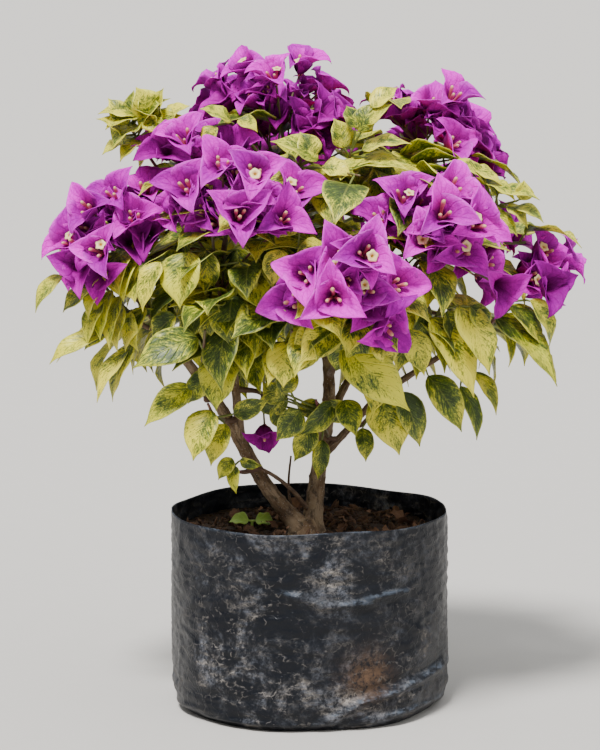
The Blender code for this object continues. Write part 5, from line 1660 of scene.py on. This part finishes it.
def inner_shoots():
    """Thin shoots from the nearest limb to places all through the crown."""
    draw = random.Random("inner shoots")
    wood = []
    for name, (line, _) in limb_lines().items():
        if name in ("low_twig", "sprout"):
            continue
        for start, stop in zip(line[1:], line[2:]):
            wood += [start.lerp(stop, step / LIMB_STEPS) for step in range(LIMB_STEPS + 1)]
    shoots = []
    while len(shoots) < INNER_SHOOTS:
        heading = Vector([draw.gauss(0, 1) for _ in range(3)]).normalized()
        end = crown_point(heading, draw.uniform(*INNER_SHARES))
        if shown(end)[1] > LOWEST_SHOOT_ROW:
            continue
        start = min(wood, key=lambda p: (p - end).length + 0.5 * max(0.0, p.z - end.z))
        if (end - start).length < SHORTEST_TWIG:
            continue
        middle = start.lerp(end, 0.5) + UP * INNER_LIFT * (end - start).length
        shoots.append([start, middle, end])
    return shoots


def build_inner_leaves(settings, material, heads):
    """Leaves inside the crown and below its heads, in a piece for each side of it."""
    draw = random.Random("inner leaves")
    halves = {"seen": Gathering(), "far": Gathering()}
    shoots = inner_shoots() + [head.rachis for head in heads if head.name != "low"]
    for shoot in shoots:
        for places in grown_leaves(shoot, draw):
            for leaf in places:
                reach = Vector([a / r for a, r in zip(leaf.tip - CROWN, REACH)]).length
                if reach < INNER_LIMIT and shown(leaf.tip)[1] < draw.uniform(*LOWEST_INNER_ROWS):
                    half = halves["seen" if leaf.base.y < 0 else "far"]
                    darkness = draw.choice(INNER_DARKNESS) + draw.uniform(0, INNER_DARKER)
                    add_leaf(half, leaf, darkness, draw)
                    break
    for side, gathering in halves.items():
        gathering.make(f"inner_leaves_{side}", material, "variegated_leaf", (), settings.leaf_thickness)


def threes_of(head, draw):
    """A head's threes: where each is, how far its bracts open, whether it flowers, and its painted shade."""
    tree = corner_tree("bracts_" + head.name)
    unknown = [None] * 3
    threes = []
    for places in head.triplets:
        triplet, spreads = model_triplet(places, tree)
        if triplet or places:
            shade = LOW_BLOOM_SHADE if head.name == "low" else 0.0
            threes.append((triplet or places[0], spreads, True, shade))
    for triplet in fill_triplets([three[0] for three in threes], draw):
        threes.append((triplet, unknown, draw.random() < FILL_FLOWERS, draw.uniform(0.0, FILL_SHADE)))
    threes += [(triplet, unknown, False, UNDER_SHADE) for triplet in under_triplets(head, draw)]
    return threes


def add_three(bracts, flowers, three, draw):
    """Three bracts, and the flowers between them."""
    triplet, spreads, has_flowers, shade = three
    open_one = draw.randrange(3) if draw.random() < OPEN_FLOWERS else None
    for number in range(3):
        spread = spreads[number] or draw.choice(SPREAD_TRIES)
        add_bract(bracts, triplet, number, spread, draw, shade)
        if not has_flowers:
            continue
        radial, _ = bract_way(triplet, number)
        lean = (triplet.axis + radial * draw.uniform(*FLOWER_LEANS)).normalized()
        start = triplet.throat + radial * FLOWER_FOOT
        length = FLOWER_LENGTH * triplet.size * draw.uniform(*FLOWER_SIZES)
        add_flower(flowers, start, lean, length, number == open_one, draw)


def build_heads(settings, heads):
    """Each head's bracts and flowers."""
    bract_look = bract_material("magenta_bract", {
        "bright": settings.bract_colour, "deep": settings.deep_colour, "throat": settings.throat_shade_and_vein_colour,
        "edge": settings.edge_colour,
    })
    flower_look = flower_material("flower", {
        "tube": (0.42, 0.03, 0.10), "blush": (0.70, 0.20, 0.22), "star": settings.star_colour,
        "gold": (0.52, 0.30, 0.05),
    })
    stalks = []
    for head in heads:
        draw = random.Random("head " + head.name)
        bracts, flowers = Gathering(), Gathering()
        for three in threes_of(head, draw):
            stalks.append((three[0].fork, three[0].throat))
            add_three(bracts, flowers, three, draw)
        bracts.make("bracts_of_" + head.name, bract_look, "magenta_bract", ["bracts_" + head.name],
                    settings.bract_thickness)
        flowers.make("flowers_of_" + head.name, flower_look, "magenta_bract")
    return stalks


def build_stems(sprays, heads, stalks, shoots):
    """Leafy stems, the heads' own stems and the stalks below each three bracts."""
    gathering = Gathering()
    stem = [TWIG_RADIUS, TWIG_RADIUS - STEM_TAPER / 2, TWIG_RADIUS - STEM_TAPER]
    shoot = [INNER_RADIUS, INNER_RADIUS, INNER_RADIUS * 0.8]
    stalk = [STALK_RADIUS * 0.9, 0.0008, 0.0010]
    rods = [(spray.stem, stem, 8, 0.003, 0.3) for spray in sprays]
    rods += [(head.rachis, RACHIS_RADII, 8, 0.003, 0.5) for head in heads]
    rods += [(line, shoot, 7, 0.004, 0.3) for line in shoots]
    rods += [([fork, fork.lerp(throat, 0.5), throat], stalk, 6, 0.004, 0.8) for fork, throat in stalks]
    for line, radii, sides, step, tint in rods:
        rod(gathering, line, radii, sides, step, (tint, 0, 0, 1))
    colours = {"green": (0.11, 0.13, 0.035), "wine": (0.16, 0.045, 0.050), "brown": (0.09, 0.055, 0.035)}
    return gathering.make("young_stems", stem_material("young_stem", colours), "bark")


def build_seedling(settings):
    """The weed seedling: a thin stem with two round leaves."""
    draw = random.Random("seedling")
    gathering = Gathering()
    top = seen(*SEEDLING_TOP)
    foot = Vector((top.x, top.y, SOIL_HEIGHT - SEEDLING_DEPTH))
    rod(gathering, [foot, foot.lerp(top, 0.5), top], [SEEDLING_RADIUS] * 3, 8, 0.002, (0, 0, 0, 1))
    outline = [(u, min(1.0, w * 1.15)) for u, w in LEAF_OUTLINE]
    for column, row in SEEDLING_TIPS:
        tip = seen(column, row, SEEDLING_TOP[2])
        root = top - UP * SEEDLING_FORK
        leaf = Leaf(root, top.lerp(tip, SEEDLING_PETIOLE), tip, SEEDLING_WIDTH, UP + Vector((0, -0.6, 0)))
        add_leaf(gathering, leaf, 0.0, draw, outline)
    material = seedling_material("seedling_leaf", settings.seedling_colour, (0.36, 0.52, 0.10))
    return gathering.make("seedling", material, "seedling_leaf", ["weed_seedling"], 0.0004)


def build_stage(settings):
    """The pale floor, two soft suns, a pale sky and the camera."""
    mesh = bpy.data.meshes.new("floor")
    corners = [(-1, -1), (1, -1), (1, 1), (-1, 1)]
    mesh.from_pydata([(x * FLOOR_REACH, y * FLOOR_REACH, 0) for x, y in corners], [], [(0, 1, 2, 3)])
    mesh.materials.append(floor_material("pale_floor", settings.floor_colour))
    put("floor", mesh)
    suns = [
        ("key_light", KEY_PLACE, KEY_WIDTH, settings.key_power),
        ("fill_light", FILL_PLACE, FILL_WIDTH, settings.fill_power),
    ]
    for name, place, softness, power in suns:
        data = bpy.data.lights.new(name, "SUN")
        data.angle = math.radians(softness)
        data.energy = power
        lamp = put(name, data)
        lamp.location = place
        lamp.rotation_euler = Vector(place).to_track_quat("Z", "Y").to_euler()
    world = bpy.data.worlds.new("pale_sky")
    world.use_nodes = True
    tree = world.node_tree
    background = tree.nodes["Background"]
    height = Signal(tree, "SeparateXYZ", {0: Signal(tree, "TexCoord", output="Generated")}, 2)
    low = [part * LOW_SKY for part in settings.sky_colour]
    sky = mixed(tree, height.step(*SKY_FADE), low, settings.sky_colour)
    tree.links.new(sky.socket, background.inputs["Color"])
    background.inputs["Strength"].default_value = settings.sky_power
    bpy.context.scene.world = world
    camera = put("camera", bpy.data.cameras.new("camera"))
    camera.data.lens = EYE_LENS
    camera.location = EYE
    camera.rotation_euler = (math.pi / 2 - EYE_PITCH, 0, 0)
    bpy.context.scene.camera = camera


def colour_property(name, description, default):
    """A colour that a user may change."""
    return bpy.props.FloatVectorProperty(
        name=name, description=description, default=default, subtype="COLOR", size=3, min=0, max=1
    )


def length_property(name, description, default):
    """A length that a user may change."""
    return bpy.props.FloatProperty(
        name=name, description=description, default=default, unit="LENGTH", subtype="DISTANCE", min=0
    )


class BagSettings(bpy.types.PropertyGroup):
    """The film bag and what is in it"""

    film_colour: colour_property("Film", "Colour of the clean film", (0.004, 0.005, 0.008))
    dustiness: bpy.props.FloatProperty(
        name="Dust", description="How dusty the film is", default=1.0, min=0, max=2, subtype="FACTOR"
    )
    crease_depth: length_property("Creases", "Depth of the film's small creases", 0.0022)
    wall: length_property("Wall", "Thickness of the film", 0.0007)
    dark_colour: colour_property("Potting mix", "Colour of the moist potting mix", (0.022, 0.014, 0.010))
    seedling_colour: colour_property("Seedling", "Colour of the seedling's leaves", (0.20, 0.31, 0.035))


class PlantSettings(bpy.types.PropertyGroup):
    """Bark, leaves and bracts"""

    brown_colour: colour_property("Bark", "Brown of the bark", (0.150, 0.088, 0.045))
    grey_colour: colour_property("Bark patches", "Grey of the bark's patches", (0.330, 0.235, 0.145))
    cream_colour: colour_property("Leaf cream", "Pale ground of the leaves", (0.80, 0.69, 0.055))
    green_colour: colour_property("Leaf green", "Darkest green of the leaves", (0.030, 0.050, 0.010))
    leaf_thickness: length_property("Leaf thickness", "Thickness of a leaf", 0.0004)
    bract_colour: colour_property("Bracts", "Bright magenta of the bracts", (0.86, 0.0, 0.72))
    deep_colour: colour_property("Bract shade", "Deeper magenta of the bracts", (0.36, 0.0, 0.36))
    # The throat colour is painted shade in the throats and on shaded bracts, and the colour of the veins
    throat_shade_and_vein_colour: colour_property("Bract throat", "Darkest purple, low in the bracts", (0.10, 0.0, 0.065))
    edge_colour: colour_property("Bract margin", "Pinkish lilac of the margins", (0.88, 0.09, 0.82))
    bract_thickness: length_property("Bract thickness", "Thickness of a bract", 0.0003)
    star_colour: colour_property("Flowers", "Cream of the open flowers", (0.86, 0.73, 0.33))


class StageSettings(bpy.types.PropertyGroup):
    """Floor and light"""

    floor_colour: colour_property("Floor", "Colour of the floor", (0.54, 0.515, 0.48))
    sky_colour: colour_property("Sky", "Colour of the light from above", (0.94, 0.97, 1.0))
    sky_power: bpy.props.FloatProperty(name="Sky light", description="Light from above", default=1.05, min=0)
    key_power: bpy.props.FloatProperty(
        name="Key light", description="Light from the front left", default=5.9, min=0
    )
    fill_power: bpy.props.FloatProperty(
        name="Fill light", description="Light from the front right", default=0.5, min=0
    )


class BONSAI_OT_bag(bpy.types.Operator):
    """Makes the film bag"""

    bl_idname = "bonsai.bag"
    bl_label = "Grow bag"

    def execute(self, context):
        build_bag(context.scene.bonsai_bag)
        return {"FINISHED"}


class BONSAI_OT_potting_mix(bpy.types.Operator):
    """Makes the potting mix with its crumbs and chips"""

    bl_idname = "bonsai.potting_mix"
    bl_label = "Potting mix"

    def execute(self, context):
        build_soil(context.scene.bonsai_bag)
        return {"FINISHED"}


class BONSAI_OT_seedling(bpy.types.Operator):
    """Makes the weed seedling"""

    bl_idname = "bonsai.seedling"
    bl_label = "Seedling"

    def execute(self, context):
        build_seedling(context.scene.bonsai_bag)
        return {"FINISHED"}


class BONSAI_OT_wood(bpy.types.Operator):
    """Makes the trunk, limbs and twigs"""

    bl_idname = "bonsai.wood"
    bl_label = "Trunk and limbs"

    def execute(self, context):
        build_wood(context.scene.bonsai_plant, spray_plan(), head_plan())
        return {"FINISHED"}


class BONSAI_OT_leaves(bpy.types.Operator):
    """Makes the leaves of every spray and those inside the crown"""

    bl_idname = "bonsai.leaves"
    bl_label = "Leaves"

    def execute(self, context):
        settings = context.scene.bonsai_plant
        material = build_leaves(settings, spray_plan())
        build_inner_leaves(settings, material, head_plan())
        return {"FINISHED"}


class BONSAI_OT_heads(bpy.types.Operator):
    """Makes the heads of bracts with their flowers, stalks and stems"""

    bl_idname = "bonsai.heads"
    bl_label = "Bracts and flowers"

    def execute(self, context):
        heads = head_plan()
        stalks = build_heads(context.scene.bonsai_plant, heads)
        build_stems(spray_plan(), heads, stalks, inner_shoots())
        return {"FINISHED"}


class BONSAI_OT_stage(bpy.types.Operator):
    """Makes the floor, the lights and the camera"""

    bl_idname = "bonsai.stage"
    bl_label = "Stage"

    def execute(self, context):
        build_stage(context.scene.bonsai_stage)
        return {"FINISHED"}


OPERATORS = (
    BONSAI_OT_bag, BONSAI_OT_potting_mix, BONSAI_OT_seedling, BONSAI_OT_wood, BONSAI_OT_leaves,
    BONSAI_OT_heads, BONSAI_OT_stage,
)


class BONSAI_PT_panel(bpy.types.Panel):
    """Lists the pieces and their settings"""

    bl_label = "Bougainvillea Bonsai"
    bl_space_type = "VIEW_3D"
    bl_region_type = "UI"
    bl_category = "Bonsai"

    def draw(self, context):
        for operator in OPERATORS:
            self.layout.operator(operator.bl_idname)
        for settings in (context.scene.bonsai_bag, context.scene.bonsai_plant, context.scene.bonsai_stage):
            for name in settings.bl_rna.properties.keys():
                if name not in ("rna_type", "name"):
                    self.layout.prop(settings, name)


CLASSES = (BagSettings, PlantSettings, StageSettings, *OPERATORS, BONSAI_PT_panel)


def register():
    """Adds the settings, the operators and the panel."""
    for cls in CLASSES:
        bpy.utils.register_class(cls)
    bpy.types.Scene.bonsai_bag = bpy.props.PointerProperty(type=BagSettings)
    bpy.types.Scene.bonsai_plant = bpy.props.PointerProperty(type=PlantSettings)
    bpy.types.Scene.bonsai_stage = bpy.props.PointerProperty(type=StageSettings)


def unregister():
    """Takes them out again."""
    del bpy.types.Scene.bonsai_stage
    del bpy.types.Scene.bonsai_plant
    del bpy.types.Scene.bonsai_bag
    for cls in reversed(CLASSES):
        bpy.utils.unregister_class(cls)


def main():
    """Makes every piece and the stage."""
    register()
    bpy.ops.bonsai.bag()
    bpy.ops.bonsai.potting_mix()
    bpy.ops.bonsai.seedling()
    bpy.ops.bonsai.wood()
    bpy.ops.bonsai.leaves()
    bpy.ops.bonsai.heads()
    bpy.ops.bonsai.stage()


if __name__ == "__main__":
    main()
